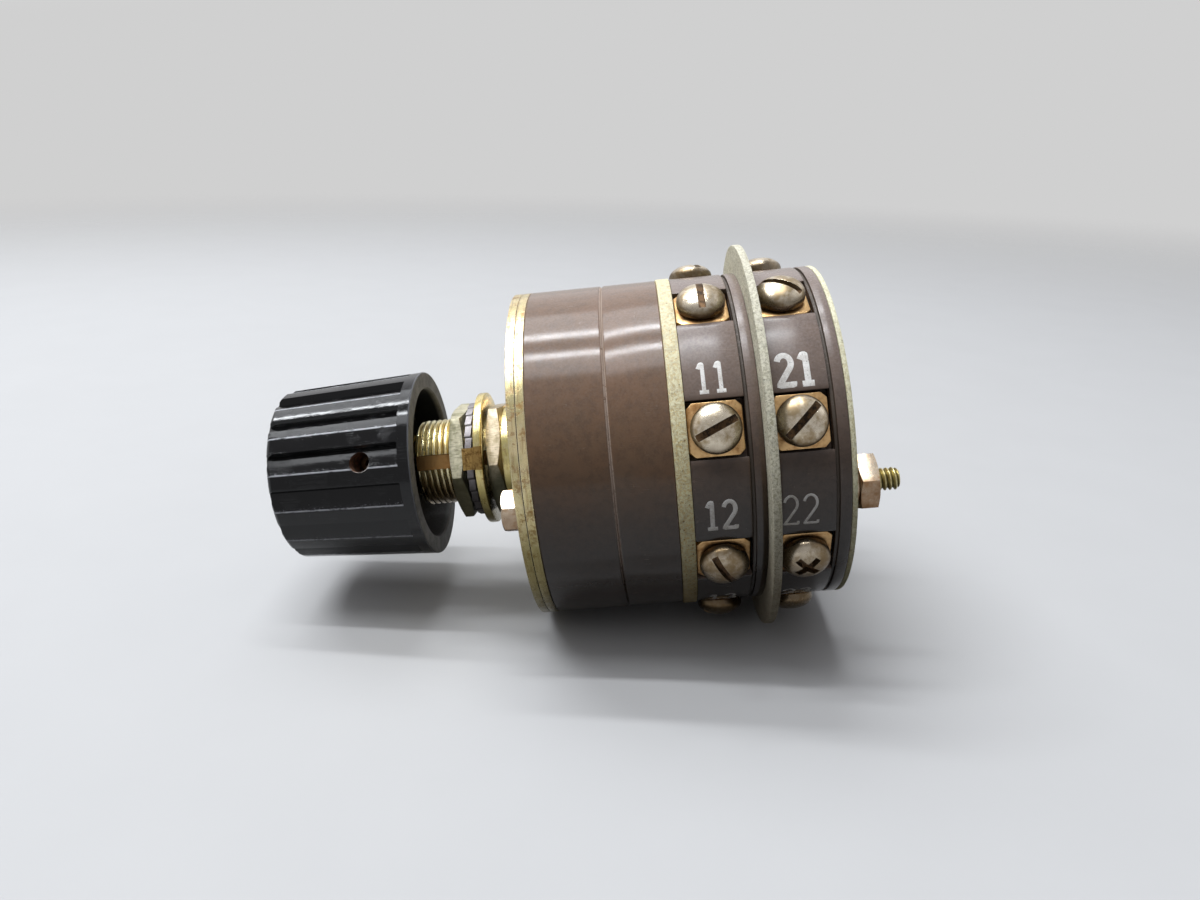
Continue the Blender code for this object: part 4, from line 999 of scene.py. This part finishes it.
def make_knob():
    front, rear = span("knob")
    nose, band, floor = front + KNOB_NOSE_LENGTH, rear - KNOB_BAND, rear - KNOB_RECESS_DEPTH
    bore_floor = span("shaft")[0] - SEAT_GAP
    taper = (KNOB_REAR_RADIUS - KNOB_NOSE_RADIUS) / (rear - nose)
    stations = [nose + (band - 0.0006 - nose) * i / 14 for i in range(15)]
    stations += [band - 0.0001, band, band + 0.00006, band + 0.0005, rear - 0.0002]
    face = [(front, 0.0), (front, KNOB_FACE_RADIUS * 0.6), (front, KNOB_FACE_RADIUS - 0.0003),
            (front + 0.00004, KNOB_FACE_RADIUS)]
    shoulder = [(front + 0.0002, KNOB_FACE_RADIUS + 0.00045), (front + 0.00042, KNOB_FACE_RADIUS + 0.0007)]
    outside = [(x, KNOB_NOSE_RADIUS + taper * (x - nose)) for x in stations]
    rim = [(rear - 0.00005, KNOB_REAR_RADIUS - 0.00008), (rear, KNOB_REAR_RADIUS - 0.00025),
           (rear, KNOB_RECESS_RADIUS + 0.0002), (rear - 0.0002, KNOB_RECESS_RADIUS)]
    recess = [(floor + 0.0003, KNOB_RECESS_RADIUS - 0.0001), (floor, KNOB_RECESS_RADIUS - 0.0005),
              (floor, SLEEVE_RADIUS), (bore_floor, SLEEVE_RADIUS), (bore_floor, 0.0)]
    blank = lathe("knob_blank", face + shoulder + outside + rim + recess,
                  steps=FLUTE_COUNT * FLUTE_COLUMNS, closed=False)
    fluted = run_tree(flute_tree, blank, knob_black, flute_end=band, nose_station=nose, taper=taper,
                      nose_radius=KNOB_NOSE_RADIUS)
    screw_station = sum(span("set_screw")) / 2
    spot = place_at(SCREW_HOLE_CLOCK, 0.0, screw_station)
    skin = KNOB_NOSE_RADIUS + taper * (screw_station - nose)
    slope = (SCREW_HOLE_RIM - SCREW_HOLE_RADIUS) * 2
    hole = cone("screw_hole", SCREW_HOLE_RADIUS, SCREW_HOLE_RADIUS, 0.004, 0.02, spot)
    chips = cone("screw_hole_rim", SCREW_HOLE_RADIUS - slope, SCREW_HOLE_RIM + slope / 2,
                 skin - slope * 1.5, skin + slope, spot)
    fluted = carved(fluted, cutters=[painted(hole, hole_wall), painted(chips, hole_rim)])
    rim_index = len(fluted.materials)
    for side in fluted.polygons:
        middle = side.center
        radius = hypot(middle.y, middle.z)
        in_recess = middle.x > floor - 0.0001 and radius < KNOB_RECESS_RADIUS + 0.0001
        if side.material_index == 0 and (middle.x > rear - 0.00012 or in_recess):
            side.material_index = rim_index
    add_piece("fluted_knob", fluted, [*fluted.materials, knob_rim], "rotor", ["knob"], 14)


def make_rotor_pieces():
    copies = [("knob_sleeve", "knob_insert", 0.0, thread_brass, "brass"),
              # the grub screw takes the dark slot material: dirt and painted shade
              ("knob_grub_screw", "set_screw", 0.00006, slot_grime, "steel"),
              ("switch_shaft", "shaft", 0.0, steel, "steel"),
              ("wiper_rotor_1", "deck_1_rotor", 0.0, rotor_black, "black_phenolic"),
              ("wiper_rotor_2", "deck_2_rotor", 0.0, rotor_black, "black_phenolic")]
    for name, node, bevel, material, slot in copies:
        add_piece(name, merged_copy(node, bevel), [material], "rotor", [node])
    start, end = span("retaining_ring")
    clip = turned_ring("clip", start, end, CLIP_BORE, CLIP_RADIUS, 0.0002, FINE_STEPS)
    mouth = block("clip_mouth", (start - BEYOND, -CLIP_MOUTH / 2, -0.01), (end + BEYOND, CLIP_MOUTH / 2, 0.0))
    clip = carved(clip, cutters=[mouth])
    add_piece("shaft_clip", clip, [washer_gold], "rotor", ["retaining_ring"])


# Bushing, nuts and washers

def make_bushing():
    front, rear = span("bushing")
    shoulder, shoulder_end = span("backing_nut")[1], span("front_plate")[0]
    threaded = threaded_bar(thread_brass, 243, 121, start=front, end=shoulder, core=SHAFT_BORE - 0.0004)
    opening = bore("bushing_bore", SHAFT_BORE, front, rear)
    keyway = block("keyway", (front - BEYOND, -KEYWAY_WIDTH / 2, KEYWAY_RADIUS),
                   (shoulder, KEYWAY_WIDTH / 2, THREAD_RADIUS + BEYOND), place_at(KEYWAY_CLOCK))
    bushing = carved(threaded, cutters=[opening, painted(keyway, keyway_brass)])
    add_piece("threaded_bushing", bushing, [thread_brass, keyway_brass], "body", ["bushing"])
    profile = [(shoulder - 0.0004, SHAFT_BORE), (shoulder - 0.0004, 0.0052), (shoulder, SHOULDER_RADIUS),
               (shoulder_end, SHOULDER_RADIUS), (shoulder_end, SPIGOT_RADIUS), (rear, SPIGOT_RADIUS),
               (rear, SHAFT_BORE)]
    flange = lathe("flange", rounded(profile), FINE_STEPS)
    add_piece("bushing_flange", flange, [washer_gold], "body", ())


def hexagon(name, across_flats, start, end, corner_clock, opening=0.0, chamfer=NUT_CHAMFER):
    """A hexagon about the shaft's line with its corners turned off, one of them at a clock angle."""
    corner, flat = across_flats / sqrt(3), across_flats / 2
    spots = [place_at(corner_clock + 60 * i, corner).to_translation() for i in range(6)]
    body = prism(name, [(spot.y, spot.z) for spot in spots], start, end)
    run = corner * 1.1
    drop, rise = (run - flat) * chamfer, flat * chamfer
    profile = [(start - rise, 0.0), (start + drop, run), (end - drop, run), (end + rise, 0.0)]
    turning = lathe(name + "_turning", profile, FINE_STEPS, closed=False)
    cutters = [bore(name + "_bore", opening, start, end)] if opening else []
    return carved(body, cutters, kept=turning, bevel=0.00008)


def make_bushing_nuts():
    for node, clock, material in (("panel_nut", PANEL_NUT_CLOCK, panel_nut_grey),
                                  ("backing_nut", BACKING_NUT_CLOCK, backing_nut_grey)):
        nut = hexagon(node, NUT_ACROSS_FLATS, *span(node), clock, NUT_BORE)
        add_piece("thin_" + node, nut, [material], "body", [node])


def make_toothed_washer():
    middle = sum(span("lock_washer")) / 2
    front, rear = middle - TOOTH_HALF_THICKNESS, middle + TOOTH_HALF_THICKNESS
    tip = outer_radius("lock_washer")
    rings = [NUT_BORE] + [WASHER_ROOT + (tip - WASHER_ROOT) * i / 4 for i in range(5)]
    profile = [(front, radius) for radius in rings] + [(rear, radius) for radius in reversed(rings)]
    washer = run_tree(tooth_tree, lathe("tooth_blank", profile, TOOTH_COUNT * 12), lock_washer_grey,
                      root=WASHER_ROOT, tip=tip)
    add_piece("toothed_washer", washer, [lock_washer_grey], "body", ["lock_washer"])


def make_keyed_washer():
    """The plated washer, with a lug bent over the keyway and a tongue in it."""
    low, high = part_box("locating_washer")
    outer = high.z
    on_key = place_at(KEYWAY_CLOCK)
    plate = turned_ring("plate", 0.0, high.x, NUT_BORE, outer, 0.0002)
    lug = block("lug", (low.x, -LUG_WIDTH / 2, outer - LUG_THICKNESS),
                (0.0001, LUG_WIDTH / 2, outer - 0.00002), on_key)
    tongue = block("tongue", (0.00005, -TONGUE_WIDTH / 2, KEYWAY_RADIUS + 0.0003),
                   (high.x - 0.0001, TONGUE_WIDTH / 2, NUT_BORE + 0.0004), on_key)
    washer = carved(painted(plate, washer_gold), bevel=0.0001,
                    joined=[painted(lug, washer_gold), painted(tongue, washer_gold)])
    seen_from_lug = on_key.inverted()
    for side in washer.polygons:
        spot = seen_from_lug @ side.center
        on_lug = abs(spot.y) < LUG_WIDTH * 0.52 and spot.z > outer - LUG_THICKNESS * 1.3
        side.material_index = 1 if on_lug else 0
    add_piece("keyed_washer", washer, [washer_gold, lug_bronze], "body", ["locating_washer"])


# Stack of discs and mouldings

def make_discs():
    """Each disc reaches to the next one, so that they sit as tightly as on the real stack."""
    plate_bore = SPIGOT_RADIUS + SEAT_GAP
    rows = (
        ("front_plate", "stop_plate", plate_bore, plate_gold, "gold_plate", "outer_plated_disc", 0.00012),
        ("stop_plate", "front_housing", plate_bore, plate_gold, "gold_plate", "inner_plated_disc", 0.00012),
        ("front_insulator", "deck_1_stator", FIBRE_BORE, tan_fibre, "tan_fibre", "tan_disc", 0.00012),
        ("middle_insulator", "deck_2_stator", FIBRE_BORE, green_fibre, "green_fibre", "wide_disc", 0.00018),
        ("rear_insulator", None, FIBRE_BORE, olive_fibre, "green_fibre", "rear_disc", 0.00014))
    for node, following, opening, material, slot, name, edge in rows:
        start, end = span(node)
        if following:
            end = span(following)[0] - HAIRLINE
        disc = turned_ring(name, start, end, opening, outer_radius(node), edge)
        add_piece(name, disc, [material], "body", [node])


def make_deck_covers():
    """A ring behind each deck, with a shallow groove where it meets the drum."""
    for deck, following in ((1, "middle_insulator"), (2, "rear_insulator")):
        node = "deck_%d_cover" % deck
        start, end = span(node)[0], span(following)[0] - HAIRLINE
        outer = outer_radius(node)
        step, low = start + COVER_GROOVE_WIDTH, outer - COVER_GROOVE_DEPTH
        profile = [(start, SHAFT_BORE), (start, low), (step, low), (step, outer), (end, outer),
                   (end, SHAFT_BORE)]
        cover = lathe(node, rounded(profile, 0.00016))
        add_piece("deck_ring_%d" % deck, cover, [deck_brown], "body", [node])


def make_housings():
    """The two cases, with a shallow dusty seam between them."""
    radius = outer_radius("front_housing")
    deep, shallow = radius - SEAM_DEPTH, radius - SEAM_DEPTH * 0.35
    start, end = span("front_housing")[0], span("rear_housing")[0] - HAIRLINE
    floor = end - CASE_FLOOR
    front = [(start, CASE_CHAMBER_RADIUS), (start, radius - 0.0001), (start + 0.0001, radius),
             (end - SEAM_WIDTH, radius), (end - SEAM_WIDTH * 0.6, shallow), (end, deep), (end, SHAFT_BORE),
             (floor, SHAFT_BORE), (floor, CASE_CHAMBER_RADIUS)]
    start, end = span("rear_housing")[0], span("front_insulator")[0] - HAIRLINE
    rear = [(start, SHAFT_BORE), (start, deep), (start + SEAM_WIDTH * 0.4, shallow),
            (start + SEAM_WIDTH, radius), (end - 0.0001, radius), (end, radius - 0.0001), (end, SHAFT_BORE)]
    for name, profile, node in (("front_case", front, "front_housing"), ("rear_case", rear, "rear_housing")):
        add_piece(name, lathe(name, profile), [housing_brown], "body", [node])


def pocket_clock(number):
    return POCKET_FIRST - 360 / POCKETS * (number - 1)


def stator_outline(radius):
    """The rim of a deck with its square pockets, as (y, z) points."""
    half = POCKET_WIDTH / 2
    shoulder = sqrt(radius ** 2 - half ** 2)
    edge = degrees(atan2(half, shoulder))
    reach = 360 / POCKETS - 2 * edge
    steps = 14
    corners = ((-half, shoulder), (-half, POCKET_FLOOR), (half, POCKET_FLOOR), (half, shoulder))
    spots = []
    for number in range(POCKETS, 0, -1):
        clock = pocket_clock(number)
        spots += [place_at(clock) @ Vector((0.0, across, height)) for across, height in corners]
        clocks = [clock + edge + reach * i / steps for i in range(1, steps)]
        spots += [place_at(rim_clock, radius).to_translation() for rim_clock in clocks]
    return [(spot.y, spot.z) for spot in spots]


def make_stators():
    outline = stator_outline(outer_radius("deck_1_stator"))
    for deck in (1, 2):
        node = "deck_%d_stator" % deck
        start, end = span(node)[0], span("deck_%d_cover" % deck)[0] - HAIRLINE
        chamber = bore("chamber", CHAMBER_RADIUS, start + CHAMBER_FLOOR + BEYOND, end)
        cutters = [chamber, bore("stator_bore", SHAFT_BORE, start, end)]
        stator = carved(prism(node + "_blank", outline, start, end), cutters, bevel=0.00013)
        add_piece("deck_drum_%d" % deck, stator, [deck_brown], "body", [node])


# Terminals

def terminal_labels(deck):
    return ["%d%d" % (deck, number) for number in range(1, POCKETS + 1)]


def slot_angle(label):
    deck, number = int(label[0]), int(label[1])
    return SLOT_ANGLES.get(label, SLOT_STEP * (number + deck) % 180)


def terminal_place(label):
    """The frame of a terminal: X along the shaft, Y round the drum, Z outwards from the axis."""
    middle = sum(span("deck_%s_stator" % label[0])) / 2
    return place_at(pocket_clock(int(label[1])), 0.0, middle)


def place_pieces(mesh, frames, material):
    """Copies of one mesh at several frames, made by the terminal tree."""
    points = bpy.data.meshes.new("places")
    points.from_pydata([place.to_translation() for place in frames], [], [])
    angles = points.attributes.new("angles", "FLOAT_VECTOR", "POINT")
    for item, place in zip(angles.data, frames):
        item.vector = place.to_euler("XYZ")
    piece = scratch_object("terminal_piece", mesh)
    result = run_tree(terminal_tree, points, material, piece=piece)
    bpy.data.objects.remove(piece)
    return result


def screw_head(crossed):
    """A domed head with its slot or cross, seat down, about local Z."""
    rise = HEAD_HEIGHT - HEAD_EDGE
    top = HEAD_SEAT + HEAD_HEIGHT
    shank_end = HEAD_SEAT - SHANK_LENGTH
    dome = [(HEAD_SEAT + HEAD_EDGE + rise * sin(radians(a)), HEAD_RADIUS * cos(radians(a)))
            for a in range(0, 90, 6)]
    foot = [(shank_end, 0.0), (shank_end, SHANK_RADIUS), (HEAD_SEAT, SHANK_RADIUS),
            (HEAD_SEAT, HEAD_RADIUS - 0.00012), (HEAD_SEAT + 0.00012, HEAD_RADIUS - 0.00003)]
    blank = lathe("head_blank", foot + dome + [(top, 0.0)], HEAD_STEPS, axis=(0.0, 0.0, 1.0), closed=False)
    reach = CROSS_LENGTH / 2 if crossed else HEAD_RADIUS + BEYOND
    half, low, high = SLOT_WIDTH / 2, top - SLOT_DEPTH, top + BEYOND
    slots = [block("slot", (-reach, -half, low), (reach, half, high))]
    if crossed:
        slots.append(block("cross", (-half, -reach, low), (half, reach, high)))
    head = carved(painted(blank, screw_nickel), [painted(slot, slot_grime) for slot in slots], bevel=0.0001)
    # the slot floor keeps the dark material, dirt and painted shade; walls and lips take the head's metal
    for side in head.polygons:
        if abs(side.normal.z) < 0.9:
            side.material_index = 0
    return head


def make_terminals():
    plate = merged_copy("contact_11", 0.00016)
    plate.transform(terminal_place("11").inverted())
    heads = {crossed: screw_head(crossed) for crossed in (False, True)}
    for deck in (1, 2):
        labels = terminal_labels(deck)
        plates = place_pieces(plate, [terminal_place(label) for label in labels], contact_copper)
        add_piece("contact_plates_%d" % deck, plates, [contact_copper], "body",
                  ["contact_" + label for label in labels])
        meshes = []
        for crossed, head in heads.items():
            chosen = [label for label in labels if (label in CROSS_HEADS) == crossed]
            frames = [terminal_place(label) @ Matrix.Rotation(radians(slot_angle(label)), 4, "Z")
                      for label in chosen]
            if frames:
                meshes.append(place_pieces(head, frames, screw_nickel))
        screws, materials = joined_mesh("heads", meshes)
        add_piece("terminal_heads_%d" % deck, screws, materials, "body",
                  ["terminal_screw_" + label for label in labels])


# Painted numbers

def arc(x, y, wide, tall, first, last, steps=12):
    turns = [radians(first + (last - first) * i / steps) for i in range(steps + 1)]
    return [(x + wide * cos(turn), y + tall * sin(turn)) for turn in turns]


FIGURES = {
    "1": [[(0.22, 0.80), (0.40, 0.97), (0.56, 0.98), (0.56, 0.0)], [(0.20, 0.0), (0.92, 0.0)]],
    "2": [arc(0.5, 0.72, 0.42, 0.27, 165, -38) + [(0.08, 0.0), (0.96, 0.0), (0.96, 0.10)]],
    "3": [arc(0.46, 0.75, 0.38, 0.24, 150, -90) + arc(0.46, 0.26, 0.45, 0.25, 90, -150)],
    "4": [[(0.72, 0.0), (0.72, 0.98), (0.05, 0.30), (0.98, 0.30)]],
    "5": [[(0.88, 0.98), (0.22, 0.98), (0.16, 0.56)] + arc(0.48, 0.31, 0.44, 0.30, 135, -150)],
    "6": [[(0.80, 0.98), (0.34, 0.74)] + arc(0.5, 0.29, 0.42, 0.28, 155, 515, 18)],
    "7": [[(0.05, 0.88), (0.05, 0.98), (0.95, 0.98), (0.42, 0.0)]],
}


def number_lines(label, tall, wide, stroke):
    """The strokes of a two-figure number as a mesh of edges, centred on its place."""
    verts, edges = [], []
    for place, figure in enumerate(label):
        left = (place - 1) * (wide + NUMBER_GAP) + NUMBER_GAP / 2
        for path in FIGURES[figure]:
            first = len(verts)
            verts += [(left + x * wide, (y - 0.5) * (tall - stroke), 0.0) for x, y in path]
            edges += [(i, i + 1) for i in range(first, len(verts) - 1)]
    lines = bpy.data.meshes.new("number_" + label)
    lines.from_pydata(verts, edges, [])
    return lines


def make_numbers():
    drum = outer_radius("deck_1_stator")
    for deck in (1, 2):
        middle = sum(span("deck_%d_stator" % deck)) / 2
        numbers = []
        for label in [label for label in terminal_labels(deck) if label not in WORN_OFF]:
            tall, wide, stroke, rise, shift = NUMBER_STYLES.get(label, PLAIN_NUMBER)
            lines = number_lines(label, tall, wide, stroke)
            numbers.append(run_tree(stroke_tree, lines, number_paint, stroke=stroke, drum=drum,
                                    station=middle + shift, clock=pocket_clock(int(label[1])) + rise))
        add_piece("painted_numbers_%d" % deck, joined_mesh("numbers", numbers)[0], [number_paint], "body",
                  ())


# Clamp bolts

def loose_washer(start, end, radius):
    washer = turned_ring("washer", start, end, BOLT_RADIUS, radius, 0.00015, FINE_STEPS)
    return painted(washer, bolt_bronze)


def add_at_bolt(name, clock, meshes, node):
    """One piece of a clamp bolt, from meshes that are made on the shaft's line."""
    whole, materials = joined_mesh(name, meshes)
    whole.transform(Matrix.Translation(place_at(clock, BOLT_CIRCLE).to_translation()))
    add_piece(name, whole, materials, "body", [node])


def make_clamp_bolts():
    plate = span("front_plate")[0]
    for side, clock in BOLT_CLOCKS.items():
        head_start, tip = span("through_bolt_" + side)
        head = hexagon("head", BOLT_HEAD_ACROSS_FLATS, head_start, plate - BOLT_WASHER, BOLT_HEAD_CORNER,
                       chamfer=BOLT_HEAD_CHAMFER)
        washer = loose_washer(plate - BOLT_WASHER, plate - HAIRLINE, BOLT_WASHER_RADIUS)
        stem = threaded_bar(stud_brass, 900, 33, start=plate - 0.0004, end=tip, radius=BOLT_RADIUS,
                            depth=BOLT_THREAD_DEPTH, pitch=BOLT_PITCH, crest=0.2)
        bolt = [painted(head, bolt_bronze), washer, stem]
        add_at_bolt("clamp_bolt_" + side, clock, bolt, "through_bolt_" + side)
        nut_start, nut_end = span("bolt_nut_" + side)
        seat, nut_seat = nut_start - SEAT_GAP + HAIRLINE, nut_start + BOLT_NUT_WASHERS
        middle = (seat + nut_seat) / 2
        body = hexagon("nut", BOLT_NUT_ACROSS_FLATS, nut_seat, nut_end, BOLT_NUT_CORNER,
                       BOLT_RADIUS - 0.0001)
        nut = [loose_washer(seat, middle - HAIRLINE, BOLT_NUT_WASHER_RADIUS),
               loose_washer(middle, nut_seat - HAIRLINE, BOLT_NUT_WASHER_RADIUS - 0.0003),
               painted(body, bolt_bronze)]
        add_at_bolt("clamp_nut_" + side, clock, nut, "bolt_nut_" + side)


# Floor, lamps and camera

def seen_directly(tree):
    """Camera, glossy and transmission rays, which show a background without lighting by it."""
    rays = add(tree, "ShaderNodeLightPath")
    through = calc("MAXIMUM", rays["Is Glossy Ray"], rays["Is Transmission Ray"])
    return calc("MAXIMUM", rays["Is Camera Ray"], through)


def make_floor():
    """A plain pale floor that fades into the background, tilted as the switch leans on it."""
    tilt = atan2(REAR_REST[1] - FRONT_REST[1], REAR_REST[0] - FRONT_REST[0])
    middle = ((FRONT_REST[0] + REAR_REST[0]) / 2, 0.0, (FRONT_REST[1] + REAR_REST[1]) / 2 - 0.00002)
    shape = bmesh.new()
    bmesh.ops.create_circle(shape, cap_ends=True, segments=FINE_STEPS, radius=FLOOR_RADIUS)
    mesh = to_mesh("floor", shape)
    mesh.transform(Matrix.Translation(middle) @ Matrix.Rotation(-tilt, 4, "Y"))
    finish = Finish("pale_floor", 0.9, specular=0.2)
    pale = layered(colour(190, 190, 190), (colour(194, 194, 194), noise(finish.place, 60.0)))
    tone = layered(colour(58, 57, 56), (pale, seen_directly(finish.tree)))
    connect(tone, finish.sockets["Base Color"])
    away = vector_calc("LENGTH", finish.place)["Value"]
    connect(fade(away, 0.22, 0.80, 1.0, 0.0), finish.sockets["Alpha"])
    scratch_object("floor", painted(mesh, finish.material))


def make_background():
    """A pale room, darker overhead and on the camera's side, that gives less light than it shows."""
    world = bpy.data.worlds.new("studio")
    bpy.context.scene.world = world
    world.use_nodes = True
    tree = world.node_tree
    x, y, z = axes(add(tree, "ShaderNodeTexCoord")["Generated"])
    shown = layered(colour(208, 208, 208), (colour(252, 252, 255), fade(z, 0.14, 0.30)),
                    (colour(160, 160, 162), fade(z, 0.60, 0.92)), (colour(178, 178, 181), fade(y, 0.1, -0.6)))
    light = layered(colour(40, 39, 38), (colour(160, 160, 163), fade(z, -0.1, 0.8)))
    sockets = tree.nodes["Background"].inputs
    connect(layered(light, (shown, seen_directly(tree))), sockets["Color"])
    sockets["Strength"].default_value = 1.0


def add_lamp(name, place, target, size, power):
    light = bpy.data.lights.new(name, "AREA")
    light.shape = "RECTANGLE"
    light.size, light.size_y = size
    light.energy = power
    light.color = (0.93, 0.96, 1.0)
    lamp = scratch_object(name, light)
    lamp.location = place
    lamp.rotation_euler = (Vector(target) - Vector(place)).to_track_quat("-Z", "Y").to_euler()
    return lamp


def make_lamps():
    """Tubes and panels overhead, which draw the streaks and bands on the round body, and a soft fill."""
    for name, lean, width, power in LAMPS:
        turn = radians(lean)
        place = (TUBE_MIDDLE, LAMP_DISTANCE * sin(turn), LAMP_DISTANCE * cos(turn))
        add_lamp(name, place, (TUBE_MIDDLE, 0.0, 0.0), (TUBE_LENGTH, width), power)
    fill = add_lamp("high_fill", (-0.20, -0.45, 0.75), (0.01, 0.0, 0.0), (0.7, 0.5), 0.7)
    fill.visible_glossy = False


def make_camera():
    data = bpy.data.cameras.new("camera")
    data.lens = CAMERA_LENS
    data.clip_start = 0.005
    camera = scratch_object("camera", data)
    camera.location = CAMERA_PLACE
    camera.rotation_euler = [radians(angle) for angle in CAMERA_TURN]
    bpy.context.scene.camera = camera


make_knob()
make_rotor_pieces()
make_bushing()
make_bushing_nuts()
make_toothed_washer()
make_keyed_washer()
make_discs()
make_deck_covers()
make_housings()
make_stators()
make_terminals()
make_numbers()
make_clamp_bolts()
painted(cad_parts["detent_spring"].data, steel)
make_floor()
make_background()
make_lamps()
make_camera()
bpy.context.scene.view_settings.view_transform = "Standard"
